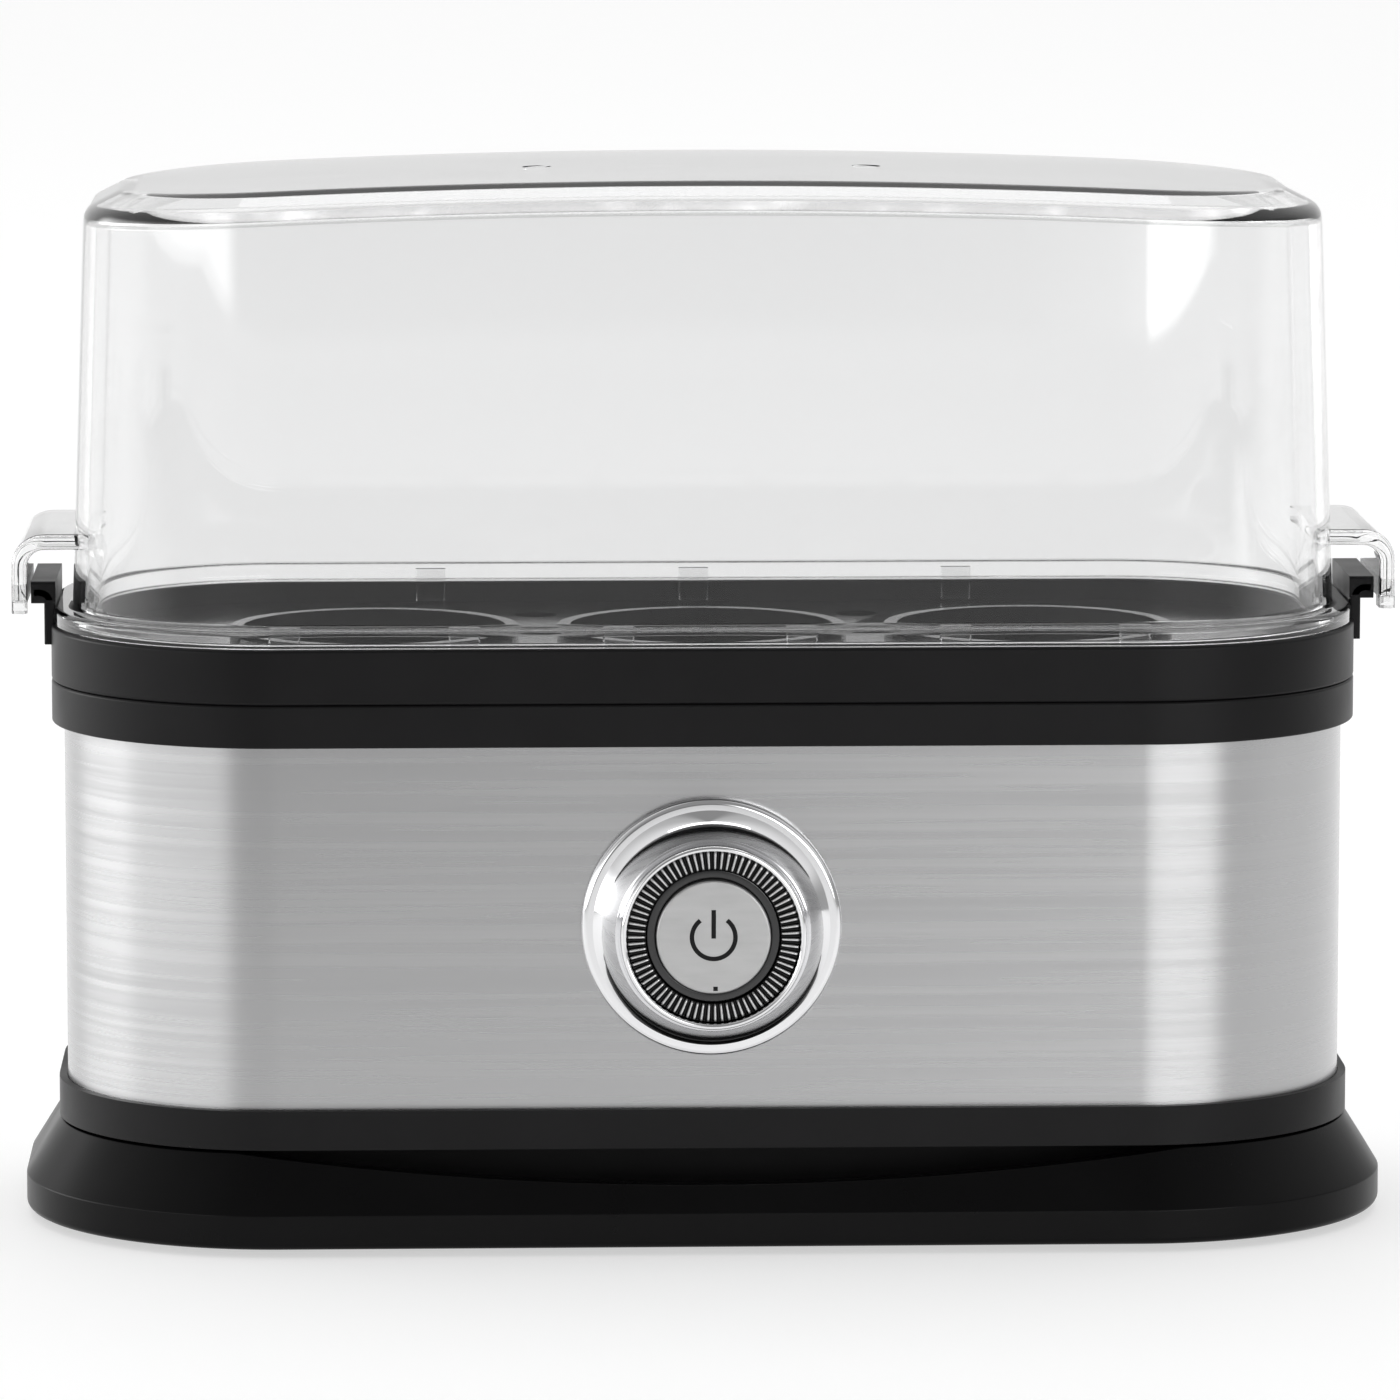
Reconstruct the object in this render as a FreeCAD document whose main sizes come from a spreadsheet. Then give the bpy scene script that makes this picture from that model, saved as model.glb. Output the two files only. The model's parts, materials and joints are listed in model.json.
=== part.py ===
"""Egg cooker: a steel-sleeved base on a flared plinth, a lift-out egg rack and a clear lid.

Millimetres, +Z up. The control faces -Y. The origin is on the table under the middle of the cooker's box,
so the plinth's own middle lies MIDDLE_Y behind it, because the control stands out in front.
Every level piece follows one family of rounded rectangles: an outline at inset n lies n inside the plinth's.
"""
import FreeCAD, Part
import math
import os
import re

import Sketcher

# name, value, meaning
SIZES = [
    ("plinth_width", 190.0, "plinth, left to right"),
    ("plinth_depth", 90.0, "plinth, front to back"),
    ("corner_radius", 36.0, "plan radius of the plinth's corners"),
    ("fit_gap", 0.3, "gap between pieces that lift apart"),
    ("seat_gap", 0.1, "gap between pieces that are fixed together"),
    ("running_gap", 0.08, "radial gap round the button and its stem"),
    ("foot_drop", 1.0, "how far the feet stand below the plinth"),
    ("foot_radius", 6.0, "rubber foot"),
    ("foot_seat", 0.8, "depth of the foot's recess"),
    ("rim_z", 5.8, "top of the plinth's upright rim"),
    ("flare_z", 13.6, "top of the plinth's flared wall"),
    ("flare_inset", 4.9, "inset of the flared wall's top"),
    ("plinth_wall", 2.4, "plinth wall, level"),
    ("plinth_floor", 2.4, "plinth floor"),
    ("window_half", 68.0, "half width of the cord window"),
    ("window_dip", 4.6, "depth of the cord window"),
    ("skirt_z", 14.0, "underside of the housing's skirt"),
    ("skirt_height", 5.4, "housing skirt"),
    ("skirt_inset", 4.7, "inset of the skirt"),
    ("housing_floor", 2.0, "housing floor"),
    ("housing_wall", 1.8, "housing's inner wall"),
    ("upstand", 7.0, "housing's inner wall above the skirt"),
    ("neck_inset", 18.5, "inset of the neck that the cord winds on"),
    ("neck_wall", 2.2, "neck wall"),
    ("boss_radius", 3.0, "tie screw boss"),
    ("tie_x", 50.0, "tie screws, from the middle"),
    ("tie_radius", 1.5, "tie screw shank"),
    ("tie_head", 2.6, "tie screw head radius"),
    ("tie_end", 0.3, "plastic over the tie screw's end"),
    ("upper_boss", 11.5, "length of the collar's tie bosses"),
    ("head_recess", 1.2, "recess for a screw head"),
    ("head_gap", 0.2, "screw head below its face"),
    ("blind_skin", 2.0, "plastic over a plinth screw's end"),
    ("neck_boss", 3.5, "plinth screw boss"),
    ("wire_y", 11.0, "hole for the lead in the housing floor, from the middle"),
    ("foot_screw_x", 58.0, "plinth screws, from the middle"),
    ("foot_screw_y", 17.0, "plinth screws, from the middle"),
    ("notch_radius", 4.0, "notch for the lead in the plinth's back wall"),
    ("sleeve_inset", 5.9, "inset of the steel sleeve"),
    ("sleeve_sheet", 0.6, "steel sheet"),
    ("sleeve_height", 50.1, "steel that shows"),
    ("sleeve_seat", 2.6, "how far the steel enters each groove"),
    ("band_inset", 4.2, "inset of the two black bands"),
    ("band_wall", 1.5, "outer wall of the two bands"),
    ("collar_height", 5.9, "lower band"),
    ("frame_height", 7.6, "upper band"),
    ("inner_inset", 9.1, "inner face of the two bands"),
    ("seam_edge", 0.4, "chamfers at the seam between the bands"),
    ("rim_edge", 0.5, "round on the upper band's top edge"),
    ("tongue_height", 3.0, "collar's tongue inside the steel"),
    ("rib_height", 3.4, "collar rib that centres the rack"),
    ("ledge_drop", 4.0, "collar ledge below the seam"),
    ("ledge_inset", 12.9, "inner edge of the ledge"),
    ("ledge_sheet", 1.8, "ledge thickness"),
    ("seal_sheet", 1.0, "pan seal"),
    ("pan_sheet", 0.8, "pan sheet"),
    ("pan_inset", 13.5, "outside of the pan's wall"),
    ("pan_depth", 9.0, "pan, flange to floor"),
    ("pan_round", 3.0, "round inside the pan's foot"),
    ("egg_pitch", 46.0, "egg to egg"),
    ("egg_radius", 18.5, "egg hole"),
    ("plate_drop", 3.0, "rack plate below the rim"),
    ("plate_sheet", 2.0, "rack plate"),
    ("lip_height", 1.2, "lip round each egg hole"),
    ("lip_wall", 1.8, "lip wall"),
    ("drain_radius", 3.0, "steam hole in the plate"),
    ("drain_y", 21.0, "steam holes in the plate, from the middle"),
    ("shelf_width", 2.0, "shelf under the plate's edge"),
    ("shelf_sheet", 1.6, "shelf thickness"),
    ("lid_height", 62.8, "lid, rim to crown"),
    ("lid_wall", 1.8, "lid wall"),
    ("lid_foot_inset", 7.2, "inset of the lid wall's foot"),
    ("lid_top_inset", 9.2, "inset of the lid wall's top"),
    ("lid_crown", 2.8, "rise of the roof over the lid's width"),
    ("bevel_width", 5.2, "bevel, across the roof"),
    ("bevel_height", 2.3, "bevel, down the wall"),
    ("flange_sheet", 2.4, "lid flange"),
    ("flange_inset", 4.6, "inset of the lid flange"),
    ("steam_radius", 2.0, "steam hole"),
    ("steam_x", 23.0, "steam holes, from the middle"),
    ("tab_width", 4.3, "lid tab"),
    ("tab_depth", 2.6, "lid tab below the rim"),
    ("tab_sheet", 1.2, "lid tab thickness"),
    ("rear_tab_x", 38.0, "outer rear tabs, from the middle"),
    ("inner_tab_x", 12.5, "inner front tabs, from the middle"),
    ("middle_tab_x", 33.5, "middle front tabs, from the middle"),
    ("outer_tab_x", 58.0, "outer front tabs, from the middle"),
    ("flange_edge", 0.8, "round on the flange's top edge"),
    ("notch_gap", 0.5, "gap between a lug and the flange's notch"),
    ("loop_reach", 1.0, "lid loop beyond the plinth's end"),
    ("loop_height", 13.0, "lid loop above the rim"),
    ("loop_lift", 2.0, "foot of the loop above the rim"),
    ("loop_sheet", 2.2, "lid loop wall"),
    ("loop_half", 16.0, "half width of the lid loop"),
    ("loop_bend", 4.5, "outer bend of the loop"),
    ("lug_half", 11.0, "half width of the rack's lug"),
    ("lug_stem", 1.6, "lug stem outside the flange's notch"),
    ("lug_root", 1.6, "lug stem inside the flange's notch"),
    ("lug_reach", 3.4, "lug, root to tip"),
    ("lug_lift", 2.8, "underside of the lug above the rim"),
    ("lug_sheet", 3.1, "lug thickness"),
    ("control_z", 44.6, "axis of the control"),
    ("bezel_radius", 17.8, "chrome flare, at the steel"),
    ("bezel_lip", 12.6, "chrome lip, outside"),
    ("bezel_bore", 11.8, "chrome lip, inside"),
    ("bezel_stand", 10.4, "lip in front of the steel"),
    ("bezel_rim", 1.6, "thickness of the flare's rim"),
    ("bezel_edge", 0.9, "round on the flare's rim"),
    ("bezel_land", 0.7, "flat strip inside the round"),
    ("flare_arc", 9.2, "radius of the hollow flare"),
    ("lip_round", 0.5, "round on the chrome lip"),
    ("lip_step", 0.4, "how far the round reaches in over the lip"),
    ("shank_wall", 1.1, "wall of the threaded shank"),
    ("shank_length", 7.0, "threaded shank behind the steel's face"),
    ("nut_height", 3.2, "bezel nut"),
    ("nut_radius", 16.2, "bezel nut, across the corners"),
    ("core_back", 6.0, "back of the control core behind the steel's face"),
    ("core_face", 3.0, "front of the control core"),
    ("knurl_face", 9.4, "front of the knurled ring"),
    ("ring_face", 8.4, "front of the light ring"),
    ("ring_radius", 9.1, "light ring, outside"),
    ("button_radius", 7.8, "power button"),
    ("button_face", 9.6, "front of the power button"),
    ("button_sheet", 2.0, "button disc"),
    ("button_travel", 1.8, "button travel"),
    ("stem_radius", 2.5, "button stem"),
    ("stem_end", 13.0, "end of the stem behind the steel's face"),
    ("spring_radius", 3.7, "button spring, mean"),
    ("spring_wire", 0.6, "button spring wire"),
    ("knurl_edge", 0.4, "chamfers of the knurled ring"),
    ("button_edge", 0.3, "chamfer of the button"),
    ("lamp_y", 7.6, "lamps and their ports, from the axis"),
    ("lamp_port", 1.2, "lamp port"),
    ("lamp_width", 1.8, "lamp"),
    ("lamp_depth", 1.6, "lamp"),
    ("lamp_height", 1.4, "lamp"),
    ("post_x", 9.4, "board posts, from the axis"),
    ("post_radius", 2.0, "board post"),
    ("post_length", 2.0, "board post"),
    ("board_half", 22.0, "half width of the board"),
    ("board_rise", 13.5, "half height of the board"),
    ("board_sheet", 1.6, "board"),
    ("stem_hole_gap", 0.6, "gap between the stem and the board"),
    ("board_screw", 1.0, "board screw shank"),
    ("board_screw_gap", 0.1, "gap round a board screw in the board"),
    ("board_head", 1.9, "board screw head radius"),
    ("board_head_height", 1.2, "board screw head"),
    ("board_screw_length", 5.5, "board screw in its post"),
    ("pilot_depth", 6.0, "pilot hole in a board post"),
    ("switch_half", 6.8, "half width of the switch body"),
    ("switch_length", 12.0, "switch body"),
    ("switch_round", 1.0, "corners of the switch body"),
    ("well_gap", 0.6, "room past the stem's end when it is pressed"),
    ("buzzer_radius", 4.4, "buzzer"),
    ("buzzer_edge", 5.2, "buzzer's middle from the board's end"),
    ("buzzer_height", 5.0, "buzzer"),
    ("buzzer_port", 0.9, "buzzer port radius"),
    ("spreader_sheet", 2.0, "heat spreader"),
    ("spreader_x", 62.0, "half length of the heat spreader"),
    ("spreader_y", 22.0, "half width of the heat spreader"),
    ("spreader_round", 8.0, "corners of the heat spreader"),
    ("clamp_post", 3.0, "post that a clamp is screwed to"),
    ("clamp_shank", 1.25, "clamp screw shank"),
    ("clamp_head", 2.4, "clamp screw head radius"),
    ("clamp_half", 5.0, "half width of a clamp bar"),
    ("clamp_over", 4.0, "clamp bar beyond the tube's middle"),
    ("clamp_sheet", 1.6, "clamp bar, and its screw's head"),
    ("pin_radius", 1.28, "element pin"),
    ("pin_length", 9.0, "element pin"),
    ("thermostat_radius", 8.0, "thermostat can"),
    ("thermostat_height", 6.0, "thermostat can"),
    ("blade_x", 4.0, "thermostat blades, from the middle"),
    ("blade_sheet", 0.8, "thermostat blade"),
    ("blade_half", 2.4, "half width of a thermostat blade"),
    ("blade_length", 5.0, "thermostat blade"),
    ("fuse_radius", 2.0, "thermal fuse"),
    ("fuse_length", 14.0, "thermal fuse"),
    ("fuse_x", 40.0, "inner end of the thermal fuse, from the middle"),
    ("terminal_half", 12.0, "half width of the terminal block"),
    ("terminal_depth", 12.0, "terminal block, front to back"),
    ("terminal_height", 9.0, "terminal block"),
    ("terminal_gap", 6.0, "terminal block to the tie screws' line"),
    ("terminal_pitch", 7.5, "terminal wells"),
    ("terminal_well", 2.2, "terminal well radius"),
    ("terminal_floor", 3.0, "plastic under a terminal well"),
    ("tube_radius", 3.2, "heating element tube"),
    ("tube_y", 14.0, "straight runs of the element, from the middle"),
    ("tube_x", 40.0, "half length of the element's straight runs"),
    ("clamp_x", 20.0, "element clamps, from the middle"),
    ("gland_x", 36.0, "cord gland, from the middle"),
    ("gland_bore", 3.3, "cord gland bore"),
    ("gland_body", 4.3, "cord gland body"),
    ("gland_flange", 5.0, "cord gland flange"),
    ("gland_sheet", 1.6, "cord gland flange thickness"),
]

NAMES = re.compile(r"\b(" + "|".join(name for name, _, _ in SIZES) + r")\b")

# Heights and places that several pieces share, worked out from the sizes above.
SLEEVE_Z = "(skirt_z + skirt_height)"
COLLAR_Z = f"({SLEEVE_Z} + sleeve_height)"
SEAM_Z = f"({COLLAR_Z} + collar_height)"
RIM_Z = f"({SEAM_Z} + frame_height)"
LEDGE_Z = f"({SEAM_Z} - ledge_drop)"
PAN_TOP = f"({LEDGE_Z} + seal_sheet + pan_sheet)"
PAN_BASE = f"({PAN_TOP} - pan_depth)"
SPREADER_BASE = f"({PAN_BASE} - spreader_sheet)"
TUBE_Z = f"({SPREADER_BASE} - tube_radius)"
PLATE_TOP = f"({RIM_Z} - plate_drop)"
PLATE_BASE = f"({PLATE_TOP} - plate_sheet)"
FLOOR_TOP = "(skirt_z + housing_floor)"
NECK_Z = "(foot_drop + plinth_floor)"
HALF_WIDTH = "(plinth_width / 2)"
HALF_DEPTH = "(plinth_depth / 2)"
FRONT_Y = f"({HALF_DEPTH} - sleeve_inset)"
TIE_Y = f"({FRONT_Y} - sleeve_sheet - boss_radius - seat_gap)"
FOOT_X = f"({HALF_WIDTH} - 26)"
FOOT_Y = f"({HALF_DEPTH} - 17)"
STEM_X = f"({HALF_WIDTH} - flange_inset - fit_gap)"
MIDDLE_Y = "((bezel_stand - sleeve_inset) / 2)"
BOARD_FACE = "(-core_back - post_length)"
BOARD_BACK = f"({BOARD_FACE} - board_sheet)"
GLAND_Z = f"(({NECK_Z} + skirt_z) / 2)"
BOSS_Z = f"({COLLAR_Z} - upper_boss)"
TIE_TIP = f"({COLLAR_Z} - tie_end)"
CLAMP_Z = f"({SPREADER_BASE} - 2 * tube_radius)"
SLOT_OUT = "(sleeve_inset - seat_gap)"
SLOT_IN = "(sleeve_inset + sleeve_sheet + seat_gap)"
SHANK = "(bezel_bore + shank_wall)"

doc = FreeCAD.newDocument("EggCooker")
sheet = doc.addObject("Spreadsheet::Sheet", "Sizes")
for row, (name, size, meaning) in enumerate(SIZES, start=1):
    sheet.set(f"A{row}", name.replace("_", " "))
    sheet.set(f"B{row}", str(size))
    sheet.set(f"C{row}", meaning)
    sheet.setAlias(f"B{row}", name)
doc.recompute()

PIECES = []


def bound(text):
    """The same formula, with each size read from the sheet."""
    return NAMES.sub(r"Sizes.\1", str(text))


def number(text):
    """What the formula comes to now."""
    return float(sheet.evalExpression(bound(text)))


def bind(item, path, text):
    item.setExpression(path, bound(text))


def keep(item, label, y="0"):
    """Name a finished sub-part, stand it at y from the plinth's middle and list it for export."""
    item.Label = label
    bind(item, "Placement.Base.y", f"{y} + {MIDDLE_Y}")
    PIECES.append(item)
    return item


# ---- sketches ----

def body_of(name):
    return doc.addObject("PartDesign::Body", name)


def sketch_on(body, role, height="0"):
    """An empty sketch on one of the body's own origin planes, at a height along its normal."""
    sketch = body.newObject("Sketcher::SketchObject", body.Name + "_sketch")
    plane = next(p for p in body.Origin.OriginFeatures if p.Role == role)
    sketch.AttachmentSupport = [(plane, "")]
    sketch.MapMode = "FlatFace"
    bind(sketch, "AttachmentOffset.Base.z", height)
    return sketch


def distance(sketch, kind, geo, pos, text):
    """Hold a point at a signed distance from the sketch's origin along X or Y."""
    if str(text) == "0":
        axis = -2 if kind == "DistanceX" else -1
        sketch.addConstraint(Sketcher.Constraint("PointOnObject", geo, pos, axis))
        return
    index = sketch.addConstraint(Sketcher.Constraint(kind, -1, 1, geo, pos, number(text)))
    bind(sketch, f"Constraints[{index}]", text)


def outline(sketch, inset):
    """One rounded rectangle of the family: its corner centres stay put and its radius shrinks."""
    x, y = number(f"{HALF_WIDTH} - corner_radius"), number(f"{HALF_DEPTH} - corner_radius")
    r = number(f"corner_radius - ({inset})")
    corners = [(x, -y, -90), (x, y, 0), (-x, y, 90), (-x, -y, 180)]
    arcs = []
    for cx, cy, start in corners:
        circle = Part.Circle(FreeCAD.Vector(cx, cy, 0), FreeCAD.Vector(0, 0, 1), r)
        first = math.radians(start)
        arcs.append(sketch.addGeometry(Part.ArcOfCircle(circle, first, first + math.pi / 2)))
    lines = []
    for here, there in zip(corners, corners[1:] + corners[:1]):
        turn = math.radians(here[2] + 90)
        out = FreeCAD.Vector(math.cos(turn), math.sin(turn), 0) * r
        ends = [FreeCAD.Vector(cx, cy, 0) + out for cx, cy, _ in (here, there)]
        lines.append(sketch.addGeometry(Part.LineSegment(*ends)))
    for i in range(4):
        sketch.addConstraint(Sketcher.Constraint("Tangent", arcs[i], 2, lines[i], 1))
        sketch.addConstraint(Sketcher.Constraint("Tangent", lines[i], 2, arcs[(i + 1) % 4], 1))
        sketch.addConstraint(Sketcher.Constraint("Vertical" if i % 2 == 0 else "Horizontal", lines[i]))
    for arc in arcs[1:]:
        sketch.addConstraint(Sketcher.Constraint("Equal", arcs[0], arc))
    radius = sketch.addConstraint(Sketcher.Constraint("Radius", arcs[0], r))
    bind(sketch, f"Constraints[{radius}]", f"corner_radius - ({inset})")
    distance(sketch, "DistanceX", arcs[0], 3, f"{HALF_WIDTH} - corner_radius")
    distance(sketch, "DistanceY", arcs[0], 3, f"corner_radius - {HALF_DEPTH}")
    sketch.addConstraint(Sketcher.Constraint("Symmetric", arcs[0], 3, arcs[2], 3, -1, 1))


def circle(sketch, x, y, radius):
    centre = FreeCAD.Vector(number(x), number(y), 0)
    geo = sketch.addGeometry(Part.Circle(centre, FreeCAD.Vector(0, 0, 1), number(radius)))
    index = sketch.addConstraint(Sketcher.Constraint("Radius", geo, number(radius)))
    bind(sketch, f"Constraints[{index}]", radius)
    distance(sketch, "DistanceX", geo, 3, x)
    distance(sketch, "DistanceY", geo, 3, y)


def polygon(sketch, path):
    """A closed outline. A point is (x, y), or (x, y, radius, turn) where an arc arrives at it:
    turn is 1 when the arc bends left and -1 when it bends right."""
    spots = [FreeCAD.Vector(number(p[0]), number(p[1]), 0) for p in path]
    ends = []
    for i, point in enumerate(path):
        start, stop = spots[i - 1], spots[i]
        if len(point) == 2:
            geo = sketch.addGeometry(Part.LineSegment(start, stop))
            ends.append((geo, 1, 2))
            continue
        r, turn = number(point[2]), point[3]
        chord = stop - start
        rise = math.sqrt(r * r - chord.Length ** 2 / 4)
        left = FreeCAD.Vector(-chord.y, chord.x, 0).normalize()
        centre = (start + stop) / 2 + left * rise * turn
        angles = [math.atan2(p.y - centre.y, p.x - centre.x) for p in (start, stop)][::turn]
        arc = Part.ArcOfCircle(Part.Circle(centre, FreeCAD.Vector(0, 0, 1), r), *angles)
        geo = sketch.addGeometry(arc)
        index = sketch.addConstraint(Sketcher.Constraint("Radius", geo, r))
        bind(sketch, f"Constraints[{index}]", point[2])
        ends.append((geo, 1, 2) if turn == 1 else (geo, 2, 1))
    for i, point in enumerate(path):
        geo, _, last = ends[i]
        following, first, _ = ends[(i + 1) % len(path)]
        sketch.addConstraint(Sketcher.Constraint("Coincident", geo, last, following, first))
        distance(sketch, "DistanceX", geo, last, point[0])
        distance(sketch, "DistanceY", geo, last, point[1])


# ---- features ----

def pad(body, sketch, length, midplane=False):
    feature = body.newObject("PartDesign::Pad", body.Name + "_pad")
    feature.Profile = sketch
    feature.Midplane = midplane
    bind(feature, "Length", length)
    return feature


def pocket(body, sketch, length, midplane=False):
    """Cut along the sketch's normal, or both ways from it."""
    before = solid_volume(body)
    feature = body.newObject("PartDesign::Pocket", body.Name + "_pocket")
    feature.Profile = sketch
    feature.Midplane = midplane
    feature.Reversed = not midplane
    bind(feature, "Length", length)
    doc.recompute()
    if solid_volume(body) >= before:
        raise RuntimeError(f"{body.Name}: a pocket cuts nothing")
    return feature


def pocket_back(body, sketch, length):
    """Cut from a sketch on the XZ plane towards +Y only."""
    before = solid_volume(body)
    feature = body.newObject("PartDesign::Pocket", body.Name + "_pocket_back")
    feature.Profile = sketch
    bind(feature, "Length", length)
    if solid_volume(body) >= before:
        raise RuntimeError(f"{body.Name}: a pocket towards the back cuts nothing")
    return feature


def solid_volume(body):
    doc.recompute()
    return body.Shape.Volume


def slab(body, inset, low, high):
    sketch = sketch_on(body, "XY_Plane", low)
    outline(sketch, inset)
    return pad(body, sketch, f"{high} - ({low})")


def ring(body, outer, inner, low, high):
    sketch = sketch_on(body, "XY_Plane", low)
    outline(sketch, outer)
    outline(sketch, inner)
    return pad(body, sketch, f"{high} - ({low})")


def hollow(body, inset, low, high):
    sketch = sketch_on(body, "XY_Plane", low)
    outline(sketch, inset)
    return pocket(body, sketch, f"{high} - ({low})")


def groove(body, outer, inner, low, high):
    sketch = sketch_on(body, "XY_Plane", low)
    outline(sketch, outer)
    outline(sketch, inner)
    return pocket(body, sketch, f"{high} - ({low})")


def loft(body, kind, stations):
    """A loft through outlines given as (inset, height)."""
    sections = []
    for inset, height in stations:
        sketch = sketch_on(body, "XY_Plane", height)
        outline(sketch, inset)
        sections.append(sketch)
    feature = body.newObject(kind, body.Name + "_loft")
    feature.Profile = sections[0]
    feature.Sections = sections[1:]
    feature.Ruled = True
    return feature


def posts(body, spots, radius, low, high):
    sketch = sketch_on(body, "XY_Plane", low)
    for x, y in spots:
        circle(sketch, x, y, radius)
    return pad(body, sketch, f"{high} - ({low})")


def drill(body, spots, radius, low, high):
    sketch = sketch_on(body, "XY_Plane", low)
    for x, y in spots:
        circle(sketch, x, y, radius)
    return pocket(body, sketch, f"{high} - ({low})")


def corners(x, y):
    """The four mirror images of a place, as formulas."""
    return [(f"{i}*({x})", f"{j}*({y})") for i in (-1, 1) for j in (-1, 1)]


def edges_where(feature, test):
    return [f"Edge{i}" for i, edge in enumerate(feature.Shape.Edges, start=1) if test(edge)]


def ease(body, kind, size, test):
    """Fillet or chamfer the edges of the body's latest feature that pass the test."""
    doc.recompute()
    base = body.Tip
    names = edges_where(base, test)
    if not names:
        raise RuntimeError(f"{body.Name}: no edge to ease")
    feature = body.newObject(kind, body.Name + "_ease")
    feature.Base = (base, names)
    bind(feature, "Radius" if kind.endswith("Fillet") else "Size", size)
    return feature


def lies_at(height, inset=None):
    """A test for edges that lie level at a height, and optionally on the outline at an inset."""
    z = number(height)

    def test(edge):
        box = edge.BoundBox
        if abs(box.ZMin - z) > 0.01 or abs(box.ZMax - z) > 0.01:
            return False
        if inset is None:
            return True
        return abs(off_outline(edge.CenterOfMass if edge.Curve.TypeId == "Part::GeomLine"
                               else edge.valueAt(edge.FirstParameter)) - number(inset)) < 0.05

    return test


def off_outline(point):
    """How far inside the plinth's outline a point lies."""
    x = max(abs(point.x) - number(f"{HALF_WIDTH} - corner_radius"), 0.0)
    y = max(abs(point.y) - number(f"{HALF_DEPTH} - corner_radius"), 0.0)
    return number("corner_radius") - math.hypot(x, y)


def turned(body, path, angle=360.0):
    """Revolve an outline given as (distance from the axis, height) about the body's Z axis."""
    sketch = sketch_on(body, "XZ_Plane")
    polygon(sketch, path)
    feature = body.newObject("PartDesign::Revolution", body.Name + "_turn")
    feature.Profile = sketch
    feature.ReferenceAxis = (sketch, ["V_Axis"])
    feature.Angle = angle
    return feature


def keep_on_control(item, label):
    """Stand a piece made about +Z on the steel's front face, facing -Y, and keep it."""
    item.Placement = FreeCAD.Placement(FreeCAD.Vector(), FreeCAD.Rotation(FreeCAD.Vector(1, 0, 0), 90))
    bind(item, "Placement.Base.z", "control_z")
    return keep(item, label, f"-{FRONT_Y}")


def block(name, x, y, z):
    """A box between pairs of formulas along each axis."""
    box = doc.addObject("Part::Box", name)
    for axis, side, (low, high) in zip("xyz", ("Length", "Width", "Height"), (x, y, z)):
        bind(box, side, f"{high} - ({low})")
        bind(box, f"Placement.Base.{axis}", low)
    return box


def rod(name, radius, x, y, low, high):
    """An upright cylinder."""
    item = doc.addObject("Part::Cylinder", name)
    bind(item, "Radius", radius)
    bind(item, "Height", f"{high} - ({low})")
    for axis, place in zip("xyz", (x, y, low)):
        bind(item, f"Placement.Base.{axis}", place)
    return item


def fused(name, items):
    item = doc.addObject("Part::MultiFuse", name)
    item.Shapes = items
    return item


def cut(name, base, tool):
    item = doc.addObject("Part::Cut", name)
    item.Base = base
    item.Tool = tool
    return item


def group(name, items):
    item = doc.addObject("Part::Compound", name)
    item.Links = items
    return item


def screws(name, spots, shank, head, head_low, head_high, tip):
    """Upright screws with their heads underneath."""
    made = []
    for i, (x, y) in enumerate(spots):
        parts = [
            rod(f"{name}_head{i}", head, x, y, head_low, head_high),
            rod(f"{name}_shank{i}", shank, x, y, head_high, tip),
        ]
        made.append(fused(f"{name}_{i}", parts))
    return group(name, made)


# ---- plinth and housing ----

FOOT_SPOTS = corners(FOOT_X, FOOT_Y)
PLINTH_SCREW_SPOTS = corners("foot_screw_x", "foot_screw_y")
TIE_SPOTS = corners("tie_x", TIE_Y)
SCREW_HOLE = "(tie_radius + seat_gap)"


def base_plinth():
    """A dish: upright rim, flared wall, a window front and back to wind the lead in by, and a notch for it."""
    body = body_of("base_plinth")
    slab(body, "0", "foot_drop", "rim_z")
    loft(body, "PartDesign::AdditiveLoft", [("0", "rim_z"), ("flare_inset", "flare_z")])
    loft(body, "PartDesign::SubtractiveLoft", [("plinth_wall", NECK_Z), ("plinth_wall", "rim_z")])
    loft(body, "PartDesign::SubtractiveLoft",
         [("plinth_wall", "rim_z"), ("flare_inset + plinth_wall", "flare_z + 0.01")])
    ease(body, "PartDesign::Fillet", "foot_drop", lies_at("foot_drop"))
    window = sketch_on(body, "XZ_Plane")
    sag_radius = "((window_half ^ 2 + window_dip ^ 2) / (2 * window_dip))"
    polygon(window, [
        ("-window_half", "skirt_z"),
        ("0", "skirt_z - window_dip", sag_radius, 1),
        ("window_half", "skirt_z", sag_radius, 1),
    ])
    pocket(body, window, "plinth_depth + 10", midplane=True)
    notch = sketch_on(body, "XZ_Plane", f"flare_inset + plinth_wall + 1 - {HALF_DEPTH}")
    polygon(notch, [
        ("-gland_x - notch_radius", "skirt_z"),
        ("-gland_x - notch_radius", GLAND_Z),
        ("-gland_x", f"{GLAND_Z} - notch_radius", "notch_radius", 1),
        ("-gland_x + notch_radius", GLAND_Z, "notch_radius", 1),
        ("-gland_x + notch_radius", "skirt_z"),
    ])
    pocket_back(body, notch, "flare_inset + plinth_wall + 2")
    drill(body, FOOT_SPOTS, "foot_radius + seat_gap", "foot_drop", "foot_drop + foot_seat")
    drill(body, PLINTH_SCREW_SPOTS, SCREW_HOLE, "foot_drop", NECK_Z)
    drill(body, PLINTH_SCREW_SPOTS, "tie_head + seat_gap", "foot_drop", "foot_drop + head_recess")
    return keep(body, "base_plinth")


def rubber_feet():
    feet = [rod(f"foot{i}", "foot_radius", x, y, "0", "foot_drop + foot_seat")
            for i, (x, y) in enumerate(FOOT_SPOTS)]
    return keep(group("feet", feet), "rubber_feet")


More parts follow.
